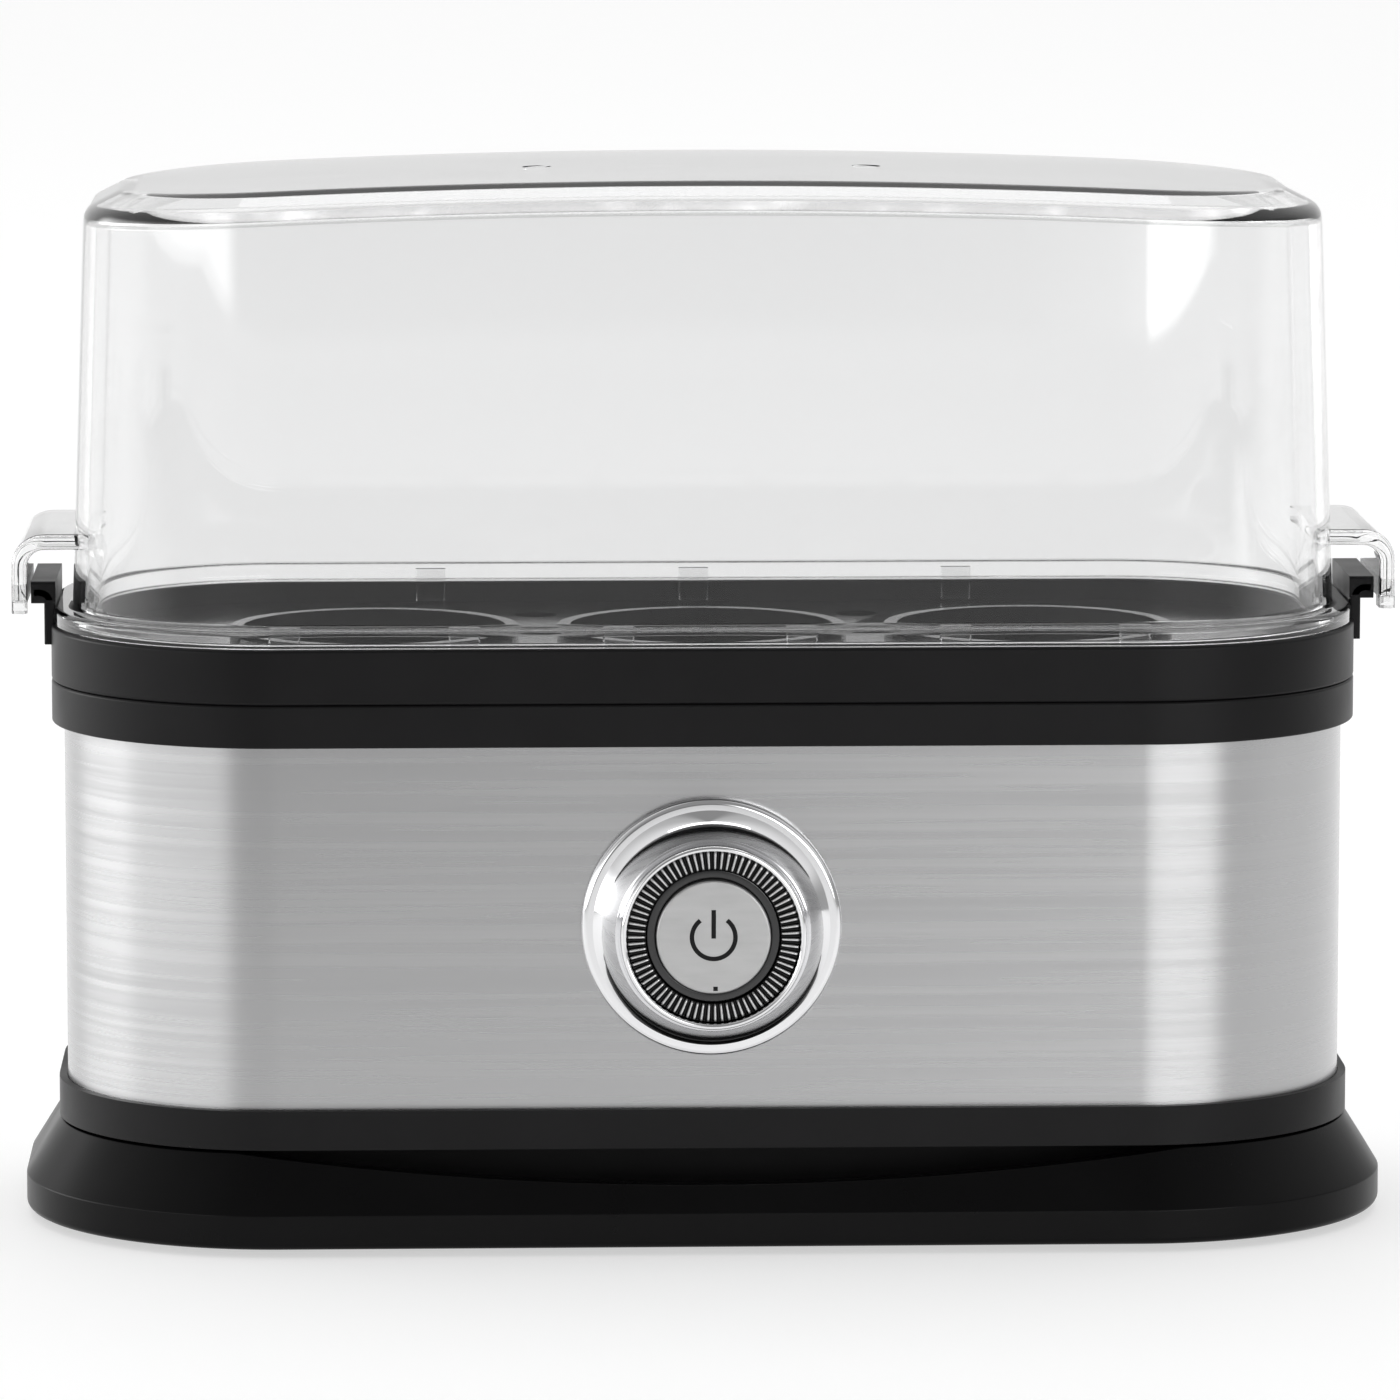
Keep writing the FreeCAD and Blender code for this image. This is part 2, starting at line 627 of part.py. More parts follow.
def plinth_screws():
    made = screws("plinth_screw", PLINTH_SCREW_SPOTS, "tie_radius", "tie_head",
                  "foot_drop + head_gap", "foot_drop + head_recess", "skirt_z - blind_skin")
    return keep(made, "plinth_screws")


def bottom_housing():
    """Floor and skirt that carry the steel, on the neck that the cord winds round."""
    body = body_of("bottom_housing")
    slab(body, "skirt_inset", "skirt_z", SLEEVE_Z)
    hollow(body, f"{SLOT_IN} + housing_wall", FLOOR_TOP, SLEEVE_Z)
    ring(body, SLOT_IN, f"{SLOT_IN} + housing_wall", SLEEVE_Z, f"{SLEEVE_Z} + upstand")
    groove(body, SLOT_OUT, SLOT_IN, f"{SLEEVE_Z} - sleeve_seat", SLEEVE_Z)
    ring(body, "neck_inset", "neck_inset + neck_wall", NECK_Z, "skirt_z")
    posts(body, PLINTH_SCREW_SPOTS, "neck_boss", NECK_Z, "skirt_z")
    posts(body, TIE_SPOTS, "boss_radius", FLOOR_TOP, BOSS_Z)
    drill(body, PLINTH_SCREW_SPOTS, "tie_radius", NECK_Z, "skirt_z - blind_skin")
    drill(body, TIE_SPOTS, SCREW_HOLE, "skirt_z", BOSS_Z)
    drill(body, TIE_SPOTS, "tie_head + seat_gap", "skirt_z", "skirt_z + head_recess")
    drill(body, [("-gland_x", "wire_y")], "gland_body", "skirt_z", FLOOR_TOP)
    gland_hole = sketch_on(body, "XZ_Plane", f"neck_inset + neck_wall - {HALF_DEPTH} + 1")
    circle(gland_hole, "-gland_x", GLAND_Z, "gland_body")
    pocket_back(body, gland_hole, "neck_wall + 4")
    return keep(body, "bottom_housing")


def cord_gland():
    """A rubber bush in the back of the neck. Its bore is where the mains lead enters."""
    body = body_of("cord_gland")
    turned(body, [
        ("gland_bore", "gland_sheet"),
        ("gland_bore", "-neck_wall - gland_sheet"),
        ("gland_flange", "-neck_wall - gland_sheet"),
        ("gland_flange", "-neck_wall"),
        ("gland_body", "-neck_wall"),
        ("gland_body", "0"),
        ("gland_flange", "0"),
        ("gland_flange", "gland_sheet"),
    ])
    body.Placement = FreeCAD.Placement(FreeCAD.Vector(), FreeCAD.Rotation(FreeCAD.Vector(1, 0, 0), -90))
    bind(body, "Placement.Base.x", "-gland_x")
    bind(body, "Placement.Base.z", GLAND_Z)
    return keep(body, "cord_gland", f"{HALF_DEPTH} - neck_inset")


def steel_sleeve():
    body = body_of("steel_sleeve")
    ring(body, "sleeve_inset", "sleeve_inset + sleeve_sheet",
         f"{SLEEVE_Z} - sleeve_seat", f"{COLLAR_Z} + sleeve_seat")
    hole = sketch_on(body, "XZ_Plane", f"{FRONT_Y} - 5")
    circle(hole, "0", "control_z", f"{SHANK} + seat_gap")
    pocket(body, hole, "10")
    return keep(body, "steel_sleeve")


def tie_screws():
    made = screws("tie_screw", TIE_SPOTS, "tie_radius", "tie_head",
                  "skirt_z + head_gap", "skirt_z + head_recess", TIE_TIP)
    return keep(made, "tie_screws")


# ---- collar, pan and heater ----

def housing_collar():
    """The lower black band: it caps the steel, centres the rack and carries the pan."""
    body = body_of("housing_collar")
    ring(body, "band_inset", "inner_inset", COLLAR_Z, SEAM_Z)
    ring(body, "inner_inset - 0.01", "ledge_inset", f"{LEDGE_Z} - ledge_sheet", LEDGE_Z)
    ring(body, SLOT_IN, "inner_inset", f"{COLLAR_Z} - tongue_height", COLLAR_Z)
    groove(body, SLOT_OUT, SLOT_IN, COLLAR_Z, f"{COLLAR_Z} + sleeve_seat")
    ring(body, "band_inset + band_wall + fit_gap", "inner_inset - band_wall - fit_gap",
         SEAM_Z, f"{SEAM_Z} + rib_height")
    posts(body, TIE_SPOTS, "boss_radius", BOSS_Z, COLLAR_Z)
    drill(body, TIE_SPOTS, "tie_radius", BOSS_Z, TIE_TIP)
    ease(body, "PartDesign::Chamfer", "seam_edge", lies_at(SEAM_Z, "band_inset"))
    return keep(body, "housing_collar")


def heating_pan():
    """A pressed stainless dish with a level flange and a rounded foot."""
    body = body_of("pan_outside")
    slab(body, "pan_inset", PAN_BASE, f"{PAN_TOP} - pan_sheet")
    slab(body, "inner_inset + fit_gap", f"{PAN_TOP} - pan_sheet", PAN_TOP)
    ease(body, "PartDesign::Fillet", "pan_round + pan_sheet", lies_at(PAN_BASE))
    cavity = body_of("pan_cavity")
    slab(cavity, "pan_inset + pan_sheet", f"{PAN_BASE} + pan_sheet", f"{PAN_TOP} + 1")
    ease(cavity, "PartDesign::Fillet", "pan_round", lies_at(f"{PAN_BASE} + pan_sheet"))
    return keep(cut("pan", body, cavity), "heating_pan")


def pan_seal():
    body = body_of("pan_seal")
    ring(body, "inner_inset + fit_gap", "ledge_inset", LEDGE_Z, f"{LEDGE_Z} + seal_sheet")
    return keep(body, "pan_seal")


def rounded_plate(body, half_x, half_y, radius, low, high):
    sketch = sketch_on(body, "XY_Plane", low)
    polygon(sketch, [
        (half_x, f"{half_y} - {radius}"),
        (f"{half_x} - {radius}", half_y, radius, 1),
        (f"{radius} - {half_x}", half_y),
        (f"-{half_x}", f"{half_y} - {radius}", radius, 1),
        (f"-{half_x}", f"{radius} - {half_y}"),
        (f"{radius} - {half_x}", f"-{half_y}", radius, 1),
        (f"{half_x} - {radius}", f"-{half_y}"),
        (half_x, f"{radius} - {half_y}", radius, 1),
    ])
    return pad(body, sketch, f"{high} - ({low})")


CLAMP_SPOTS = [("clamp_x", "0"), ("-clamp_x", "0")]


def heat_spreader():
    body = body_of("heat_spreader")
    rounded_plate(body, "spreader_x", "spreader_y", "spreader_round", SPREADER_BASE, PAN_BASE)
    posts(body, CLAMP_SPOTS, "clamp_post", CLAMP_Z, SPREADER_BASE)
    drill(body, CLAMP_SPOTS, "clamp_shank", CLAMP_Z, SPREADER_BASE)
    return keep(body, "heat_spreader")


def heating_element():
    """A sheathed tube bent once, with both ends at the right."""
    body = body_of("heating_element")
    path = sketch_on(body, "XY_Plane", TUBE_Z)
    x, y = number("tube_x"), number("tube_y")
    away = Part.LineSegment(FreeCAD.Vector(x, -y, 0), FreeCAD.Vector(-x, -y, 0))
    back = Part.LineSegment(FreeCAD.Vector(-x, y, 0), FreeCAD.Vector(x, y, 0))
    half = Part.Circle(FreeCAD.Vector(-x, 0, 0), FreeCAD.Vector(0, 0, 1), y)
    first = path.addGeometry(away)
    bend = path.addGeometry(Part.ArcOfCircle(half, math.pi / 2, math.pi * 3 / 2))
    last = path.addGeometry(back)
    path.addConstraint(Sketcher.Constraint("Coincident", first, 2, bend, 2))
    path.addConstraint(Sketcher.Constraint("Coincident", bend, 1, last, 1))
    for geo, pos, way in ((first, 1, -1), (last, 2, 1)):
        distance(path, "DistanceX", geo, pos, "tube_x")
        distance(path, "DistanceY", geo, pos, f"{way} * tube_y")
    distance(path, "DistanceX", bend, 3, "-tube_x")
    distance(path, "DistanceY", bend, 3, "0")
    distance(path, "DistanceX", first, 2, "-tube_x")
    distance(path, "DistanceY", first, 2, "-1 * tube_y")
    distance(path, "DistanceX", last, 1, "-tube_x")
    section = sketch_on(body, "YZ_Plane", "tube_x")
    circle(section, "-1 * tube_y", TUBE_Z, "tube_radius")
    pipe = body.newObject("PartDesign::AdditivePipe", "element_pipe")
    pipe.Profile = section
    pipe.Spine = (path, [])
    return keep(body, "heating_element")


def element_pins():
    pins = []
    for way in (-1, 1):
        pin = doc.addObject("Part::Cylinder", "pin")
        pin.Placement = FreeCAD.Placement(FreeCAD.Vector(), FreeCAD.Rotation(FreeCAD.Vector(0, 1, 0), 90))
        bind(pin, "Radius", "pin_radius")
        bind(pin, "Height", "pin_length")
        bind(pin, "Placement.Base.x", "tube_x")
        bind(pin, "Placement.Base.y", f"{way} * tube_y")
        bind(pin, "Placement.Base.z", TUBE_Z)
        pins.append(pin)
    return keep(group("pins", pins), "element_pins")


def element_clamps():
    bars = []
    for i, (x, _) in enumerate(CLAMP_SPOTS):
        bar = block(f"clamp_bar{i}", (f"{x} - clamp_half", f"{x} + clamp_half"),
                    ("-tube_y - clamp_over", "tube_y + clamp_over"), (f"{CLAMP_Z} - clamp_sheet", CLAMP_Z))
        hole = rod(f"clamp_hole{i}", "clamp_shank + 2 * seat_gap", x, "0",
                   f"{CLAMP_Z} - clamp_sheet - 1", f"{CLAMP_Z} + 1")
        bars.append(cut(f"clamp{i}", bar, hole))
    return keep(group("clamps", bars), "element_clamps")


def clamp_screws():
    made = screws("clamp_screw", CLAMP_SPOTS, "clamp_shank", "clamp_head",
                  f"{CLAMP_Z} - 2 * clamp_sheet", f"{CLAMP_Z} - clamp_sheet", f"{SPREADER_BASE} - head_gap")
    return keep(made, "clamp_screws")


def thermostat():
    base = f"({SPREADER_BASE} - thermostat_height)"
    can = rod("thermostat_can", "thermostat_radius", "0", "0", base, SPREADER_BASE)
    blades = []
    for i, way in enumerate((-1, 1)):
        sides = (f"{way} * blade_x - blade_sheet / 2", f"{way} * blade_x + blade_sheet / 2")
        blades.append(block(f"thermostat_blade{i}", sides, ("-blade_half", "blade_half"),
                            (f"{base} - blade_length", f"{base} + 0.1")))
    return keep(fused("thermostat_body", [can] + blades), "thermostat")


def thermal_fuse():
    fuse = doc.addObject("Part::Cylinder", "fuse")
    fuse.Placement = FreeCAD.Placement(FreeCAD.Vector(), FreeCAD.Rotation(FreeCAD.Vector(0, 1, 0), 90))
    bind(fuse, "Radius", "fuse_radius")
    bind(fuse, "Height", "fuse_length")
    bind(fuse, "Placement.Base.x", "-fuse_x")
    bind(fuse, "Placement.Base.z", f"{SPREADER_BASE} - fuse_radius")
    return keep(fuse, "thermal_fuse")


def terminal_block():
    back = f"({TIE_Y} - terminal_gap)"
    shell = block("terminal_shell", ("-terminal_half", "terminal_half"),
                  (f"{back} - terminal_depth", back), (FLOOR_TOP, f"{FLOOR_TOP} + terminal_height"))
    middle = f"{back} - terminal_depth / 2"
    wells = [rod(f"terminal_well{i}", "terminal_well", f"{i - 1} * terminal_pitch", middle,
                 f"{FLOOR_TOP} + terminal_floor", f"{FLOOR_TOP} + terminal_height + 1") for i in range(3)]
    return keep(cut("terminals", shell, fused("terminal_wells", wells)), "terminal_block")


# ---- rack and lid ----

def egg_spots():
    return [(f"{i} * egg_pitch" if i else "0", "0") for i in (-1, 0, 1)]


def rack_frame():
    """The upper black band, with a ledge for the plate and a lug at each end to lift it by."""
    body = body_of("rack_frame")
    ring(body, "band_inset", "inner_inset", SEAM_Z, RIM_Z)
    ring(body, "inner_inset - 0.01", "inner_inset + shelf_width", f"{PLATE_BASE} - shelf_sheet", PLATE_BASE)
    groove_top = f"({SEAM_Z} + rib_height + fit_gap)"
    groove(body, "band_inset + band_wall", "inner_inset - band_wall", SEAM_Z, groove_top)
    ease(body, "PartDesign::Chamfer", "seam_edge", lies_at(SEAM_Z, "band_inset"))
    ease(body, "PartDesign::Fillet", "rim_edge", lies_at(RIM_Z, "band_inset"))
    for way in (-1, 1):
        side = sketch_on(body, "XZ_Plane")
        polygon(side, [
            (f"{way} * ({STEM_X} - lug_root)", groove_top),
            (f"{way} * ({STEM_X} + lug_stem)", groove_top),
            (f"{way} * ({STEM_X} + lug_stem)", f"{RIM_Z} + lug_lift"),
            (f"{way} * ({STEM_X} + lug_reach)", f"{RIM_Z} + lug_lift"),
            (f"{way} * ({STEM_X} + lug_reach)", f"{RIM_Z} + lug_lift + lug_sheet"),
            (f"{way} * {STEM_X}", f"{RIM_Z} + lug_lift + lug_sheet"),
            (f"{way} * {STEM_X}", RIM_Z),
            (f"{way} * ({STEM_X} - lug_root)", RIM_Z),
        ])
        pad(body, side, "2 * lug_half", midplane=True)
    return keep(body, "rack_frame")


def rack_plate():
    """The plate that the eggs stand in, each hole with a raised lip."""
    body = body_of("rack_plate")
    slab(body, "inner_inset + seat_gap", PLATE_BASE, PLATE_TOP)
    posts(body, egg_spots(), "egg_radius + lip_wall", PLATE_BASE, f"{PLATE_TOP} + lip_height")
    drill(body, egg_spots(), "egg_radius", f"{PLATE_BASE} - 1", f"{PLATE_TOP} + lip_height + 1")
    drill(body, corners("egg_pitch / 2", "drain_y"), "drain_radius", f"{PLATE_BASE} - 1", f"{PLATE_TOP} + 1")
    return keep(body, "rack_plate")


def dome(name, wall):
    """The lid's closed form, shrunk by a wall: leaning walls under a roof that is crowned left to right."""
    top = f"{RIM_Z} + lid_height"
    body = body_of(name)
    loft(body, "PartDesign::AdditiveLoft", [
        (f"lid_foot_inset + {wall}", f"{RIM_Z} - 1" if wall != "0" else RIM_Z),
        (f"lid_top_inset + {wall}", top),
    ])
    crown = sketch_on(body, "XZ_Plane")
    reach = f"({HALF_WIDTH} - lid_top_inset + 10)"
    roof_radius = f"(({HALF_WIDTH} - lid_top_inset) ^ 2 / (2 * lid_crown))"
    side_z = f"{top} - {wall} - {reach} ^ 2 / (2 * {roof_radius})"
    polygon(crown, [
        (reach, f"{top} + 20"),
        (f"-{reach}", f"{top} + 20"),
        (f"-{reach}", side_z),
        ("0", f"{top} - {wall}", roof_radius, -1),
        (reach, side_z, roof_radius, -1),
    ])
    pocket(body, crown, "plinth_depth + 10", midplane=True)
    doc.recompute()
    tip = body.Tip
    roof = max(tip.Shape.Faces, key=lambda face: face.CenterOfMass.z)
    names = [f"Edge{i}" for i, edge in enumerate(tip.Shape.Edges, start=1)
             if any(edge.isSame(other) for other in roof.Edges) and edge.BoundBox.DiagonalLength > 1
             and off_outline(edge.valueAt((edge.FirstParameter + edge.LastParameter) / 2))
             < number("lid_top_inset + lid_wall + 2")]
    bevel = body.newObject("PartDesign::Chamfer", name + "_bevel")
    bevel.Base = (tip, names)
    bevel.ChamferType = "Two distances"
    bind(bevel, "Size", "bevel_height")
    bind(bevel, "Size2", "bevel_width")
    return body


def lid():
    """One clear moulding: dome, flange and locating tabs."""
    outside = dome("lid_outside", "0")
    shell = cut("lid_shell", outside, dome("lid_inside", "lid_wall"))
    flange = body_of("lid_flange")
    ring(flange, "flange_inset", "lid_foot_inset + lid_wall", RIM_Z, f"{RIM_Z} + flange_sheet")
    ease(flange, "PartDesign::Fillet", "flange_edge", lies_at(f"{RIM_Z} + flange_sheet", "flange_inset"))
    pieces = [shell, flange]
    tab_out = "(inner_inset + fit_gap)"
    places = [(x, 1) for x in ("-rear_tab_x", "0", "rear_tab_x")]
    places += [(f"{way} * {x}", -1) for way in (-1, 1)
               for x in ("inner_tab_x", "middle_tab_x", "outer_tab_x")]
    for i, (x, way) in enumerate(places):
        tab = body_of(f"lid_tab{i}")
        side = sketch_on(tab, "YZ_Plane", x)
        out, root = f"{way} * ({HALF_DEPTH} - {tab_out})", f"{way} * ({HALF_DEPTH} - lid_foot_inset - 1)"
        inside = f"{way} * ({HALF_DEPTH} - {tab_out} - tab_sheet)"
        polygon(side, [
            (inside, f"{RIM_Z} - tab_depth"),
            (out, f"{RIM_Z} - tab_depth"),
            (out, RIM_Z),
            (root, RIM_Z),
            (root, f"{RIM_Z} + flange_sheet"),
            (inside, f"{RIM_Z} + flange_sheet"),
        ])
        pad(tab, side, "tab_width", midplane=True)
        pieces.append(tab)
    whole = fused("lid_whole", pieces)
    steam = [rod(f"steam{i}", "steam_radius", f"{way} * steam_x", "0", f"{RIM_Z} + lid_height - 20",
                 f"{RIM_Z} + lid_height + 5") for i, way in enumerate((-1, 1))]
    notches = [block(f"lug_notch{i}", (low, high), ("-lug_half - notch_gap", "lug_half + notch_gap"),
                     (f"{RIM_Z} - 1", f"{RIM_Z} + flange_sheet + 1"))
               for i, (low, high) in enumerate((
                   (f"-{HALF_WIDTH}", f"fit_gap - {STEM_X}"), (f"{STEM_X} - fit_gap", HALF_WIDTH)))]
    keep(cut("lid_moulding", whole, fused("lid_cuts", steam + notches)), "lid")
    return lid_loops(outside)


def lid_loops(outside):
    """A lifting loop for each end of the lid, welded to its wall at the root."""
    tip = f"({HALF_WIDTH} + loop_reach)"
    top = f"({RIM_Z} + loop_height)"
    loops = []
    for i, way in enumerate((-1, 1)):
        loop = body_of(f"lid_loop{i}")
        side = sketch_on(loop, "XZ_Plane")
        root = f"{way} * ({HALF_WIDTH} - lid_foot_inset - lid_wall * 0.75)"
        polygon(side, [
            (root, top),
            (root, f"{top} - loop_sheet"),
            (f"{way} * ({tip} - loop_bend)", f"{top} - loop_sheet"),
            (f"{way} * ({tip} - loop_sheet)", f"{top} - loop_bend", "loop_bend - loop_sheet", -way),
            (f"{way} * ({tip} - loop_sheet)", f"{RIM_Z} + loop_lift"),
            (f"{way} * {tip}", f"{RIM_Z} + loop_lift"),
            (f"{way} * {tip}", f"{top} - loop_bend"),
            (f"{way} * ({tip} - loop_bend)", top, "loop_bend", way),
        ])
        pad(loop, side, "2 * loop_half", midplane=True)
        loops.append(cut(f"welded_loop{i}", loop, outside))
    return keep(group("lid_loop_pair", loops), "lid_loops")


# ---- control ----

POST_SPOTS = [("-post_x", "0"), ("post_x", "0")]


def control_bezel():
    """A chrome trumpet that flares from the lip down to the steel, on a threaded shank."""
    body = body_of("control_bezel")
    turned(body, [
        ("bezel_bore", "-shank_length"),
        (SHANK, "-shank_length"),
        (SHANK, "0"),
        ("bezel_radius", "0"),
        ("bezel_radius", "bezel_rim - bezel_edge"),
        ("bezel_radius - bezel_edge", "bezel_rim", "bezel_edge", 1),
        ("bezel_radius - bezel_edge - bezel_land", "bezel_rim"),
        ("bezel_lip", "bezel_stand - lip_round", "flare_arc", -1),
        ("bezel_lip - lip_step", "bezel_stand", "lip_round", 1),
        ("bezel_bore", "bezel_stand"),
    ])
    return keep_on_control(body, "control_bezel")


def bezel_nut():
    body = body_of("bezel_nut")
    sketch = sketch_on(body, "XY_Plane", "-sleeve_sheet - nut_height")
    spots = [(f"nut_radius * cos({60 * i})", f"nut_radius * sin({60 * i})") for i in range(6)]
    polygon(sketch, [(x if i % 3 else f"nut_radius * {1 - i // 3 * 2}", y if i % 3 else "0")
                     for i, (x, y) in enumerate(spots)])
    circle(sketch, "0", "0", f"{SHANK} + seat_gap")
    pad(body, sketch, "nut_height")
    return keep_on_control(body, "bezel_nut")


def control_core():
    """The black moulding inside the bezel: it guides the stem, seats the spring and holds the board."""
    body = body_of("control_core")
    posts(body, [("0", "0")], "bezel_bore - seat_gap", "-core_back", "core_face")
    posts(body, POST_SPOTS, "post_radius", BOARD_FACE, "-core_back")
    drill(body, [("0", "0")], "stem_radius + running_gap", "-core_back - 1", "core_face + 1")
    drill(body, [("0", "0")], "spring_radius + spring_wire", "0", "core_face + 1")
    drill(body, [("0", "lamp_y"), ("0", "-lamp_y")], "lamp_port", "-core_back - 1", "core_face + 1")
    drill(body, POST_SPOTS, "board_screw", BOARD_FACE, f"{BOARD_FACE} + pilot_depth")
    return keep_on_control(body, "control_core")


def knurled_ring():
    body = body_of("knurled_ring")
    turned(body, [
        ("ring_radius + seat_gap", "core_face"),
        ("bezel_bore - seat_gap", "core_face"),
        ("bezel_bore - seat_gap", "knurl_face - knurl_edge"),
        ("bezel_bore - seat_gap - knurl_edge", "knurl_face"),
        ("ring_radius + seat_gap + knurl_edge", "knurl_face"),
        ("ring_radius + seat_gap", "knurl_face - knurl_edge"),
    ])
    return keep_on_control(body, "knurled_ring")


def light_ring():
    body = body_of("light_ring")
    turned(body, [
        ("button_radius + running_gap", "core_face"),
        ("ring_radius", "core_face"),
        ("ring_radius", "ring_face"),
        ("button_radius + running_gap", "ring_face"),
    ])
    return keep_on_control(body, "light_ring")


def power_button():
    """The push button: a satin disc on a stem that reaches through the core into the switch."""
    body = body_of("power_button")
    turned(body, [
        ("0", "-stem_end"),
        ("stem_radius", "-stem_end"),
        ("stem_radius", "button_face - button_sheet"),
        ("button_radius", "button_face - button_sheet"),
        ("button_radius", "button_face - button_edge"),
        ("button_radius - button_edge", "button_face"),
        ("0", "button_face"),
    ])
    return keep_on_control(body, "power_button")


def button_spring():
    body = body_of("button_spring")
    section = sketch_on(body, "XZ_Plane")
    circle(section, "spring_radius", "spring_wire / 2", "spring_wire / 2")
    helix = body.newObject("PartDesign::AdditiveHelix", "spring_helix")
    helix.Profile = section
    helix.ReferenceAxis = (section, ["V_Axis"])
    helix.Mode = "height-turns-growth"
    bind(helix, "Height", "button_face - button_sheet - spring_wire")
    helix.Turns = 4.5
    return keep_on_control(body, "button_spring")


def control_board():
    body = body_of("control_board")
    sketch = sketch_on(body, "XY_Plane", BOARD_BACK)
    polygon(sketch, [("board_half", "-board_rise"), ("board_half", "board_rise"),
                     ("-board_half", "board_rise"), ("-board_half", "-board_rise")])
    circle(sketch, "0", "0", "stem_radius + stem_hole_gap")
    for x, y in POST_SPOTS:
        circle(sketch, x, y, "board_screw + board_screw_gap")
    pad(body, sketch, "board_sheet")
    return keep_on_control(body, "control_board")


def board_screws():
    made = screws("board_screw", POST_SPOTS, "board_screw", "board_head",
                  f"{BOARD_BACK} - board_head_height", BOARD_BACK, f"{BOARD_FACE} + board_screw_length")
    return keep_on_control(made, "board_screws")


def ring_leds():
    lamps = []
    for i, way in enumerate((-1, 1)):
        sides = (f"{way} * lamp_y - lamp_depth / 2", f"{way} * lamp_y + lamp_depth / 2")
        lamps.append(block(f"led{i}", ("-lamp_width / 2", "lamp_width / 2"), sides,
                           (BOARD_FACE, f"{BOARD_FACE} + lamp_height")))
    return keep_on_control(group("leds", lamps), "ring_leds")


def power_switch():
    """The switch on the back of the board, with a blind well for the stem."""
    body = body_of("power_switch")
    rounded_plate(body, "switch_half", "switch_half", "switch_round",
                  f"{BOARD_BACK} - switch_length", BOARD_BACK)
    drill(body, [("0", "0")], "stem_radius + running_gap", "-stem_end - button_travel - well_gap", BOARD_BACK)
    return keep_on_control(body, "power_switch")


def signal_buzzer():
    base = f"({BOARD_BACK} - buzzer_height)"
    sounder = rod("sounder", "buzzer_radius", "-board_half + buzzer_edge", "0", base, BOARD_BACK)
    port = rod("sounder_port", "buzzer_port", "-board_half + buzzer_edge", "0", f"{base} - 1", f"{base} + 1")
    return keep_on_control(cut("buzzer", sounder, port), "signal_buzzer")


MAKERS = [
    base_plinth, rubber_feet, plinth_screws, bottom_housing, cord_gland, steel_sleeve, tie_screws,
    housing_collar, heating_pan, pan_seal, heat_spreader, heating_element, element_pins, element_clamps,
    clamp_screws, thermostat, thermal_fuse, terminal_block, rack_frame, rack_plate, lid,
    control_bezel, bezel_nut, control_core, knurled_ring, light_ring, power_button, button_spring,
    control_board, board_screws, ring_leds, power_switch, signal_buzzer,
]
for make in MAKERS:
    make()
doc.recompute()

faults = [item.Label for item in doc.Objects if {"Invalid", "Error"} & set(item.State)]
faults += [item.Label for item in PIECES if item.Shape.isNull() or not item.Shape.isValid()]
if faults:
    raise RuntimeError(f"not built: {faults}")

os.makedirs("parts", exist_ok=True)
for item in PIECES:
    item.Shape.exportStep(f"parts/{item.Label}.step")
    solids = len(item.Shape.Solids)
    print(f"{item.Label}: {solids} solid(s), {item.Shape.Volume / 1000:.2f} cm3")
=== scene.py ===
"""Egg cooker: its looks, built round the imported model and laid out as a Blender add-on.

Metres, +Z up, the control faces -Y. Every level ring follows one family of rounded rectangles:
the outline at inset n stands n inside the plinth's, about the same four corner centres.
"""
import json
import math

import bmesh
import bpy
import numpy as np
from bpy.props import FloatProperty, FloatVectorProperty, IntProperty, PointerProperty
from bpy.types import Operator, Panel, PropertyGroup
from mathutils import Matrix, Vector


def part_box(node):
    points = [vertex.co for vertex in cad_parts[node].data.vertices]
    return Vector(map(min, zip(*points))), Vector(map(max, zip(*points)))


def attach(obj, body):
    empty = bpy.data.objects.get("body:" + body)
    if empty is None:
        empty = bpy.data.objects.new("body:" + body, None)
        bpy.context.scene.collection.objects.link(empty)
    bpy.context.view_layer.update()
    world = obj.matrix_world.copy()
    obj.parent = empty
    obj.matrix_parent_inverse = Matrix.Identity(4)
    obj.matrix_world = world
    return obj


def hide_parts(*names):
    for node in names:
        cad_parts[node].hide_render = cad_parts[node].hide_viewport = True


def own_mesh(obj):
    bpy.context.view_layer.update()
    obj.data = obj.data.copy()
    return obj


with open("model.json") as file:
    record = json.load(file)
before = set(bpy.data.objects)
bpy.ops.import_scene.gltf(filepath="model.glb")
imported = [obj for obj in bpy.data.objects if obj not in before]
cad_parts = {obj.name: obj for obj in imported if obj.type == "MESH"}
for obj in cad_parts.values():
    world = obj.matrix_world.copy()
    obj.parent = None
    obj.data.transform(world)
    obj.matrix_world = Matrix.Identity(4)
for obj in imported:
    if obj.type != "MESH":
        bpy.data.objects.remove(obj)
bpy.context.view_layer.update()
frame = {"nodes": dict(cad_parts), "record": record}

bl_info = {
    "name": "Egg cooker",
    "version": (1, 0, 0),
    "blender": (4, 5, 0),
    "location": "View3D > Sidebar > Egg cooker",
    "description": "Builds the shells, lid, control and finishes of a three-egg cooker",
    "category": "Object",
}

MM = 0.001
EDGE_ANGLE = 32.0

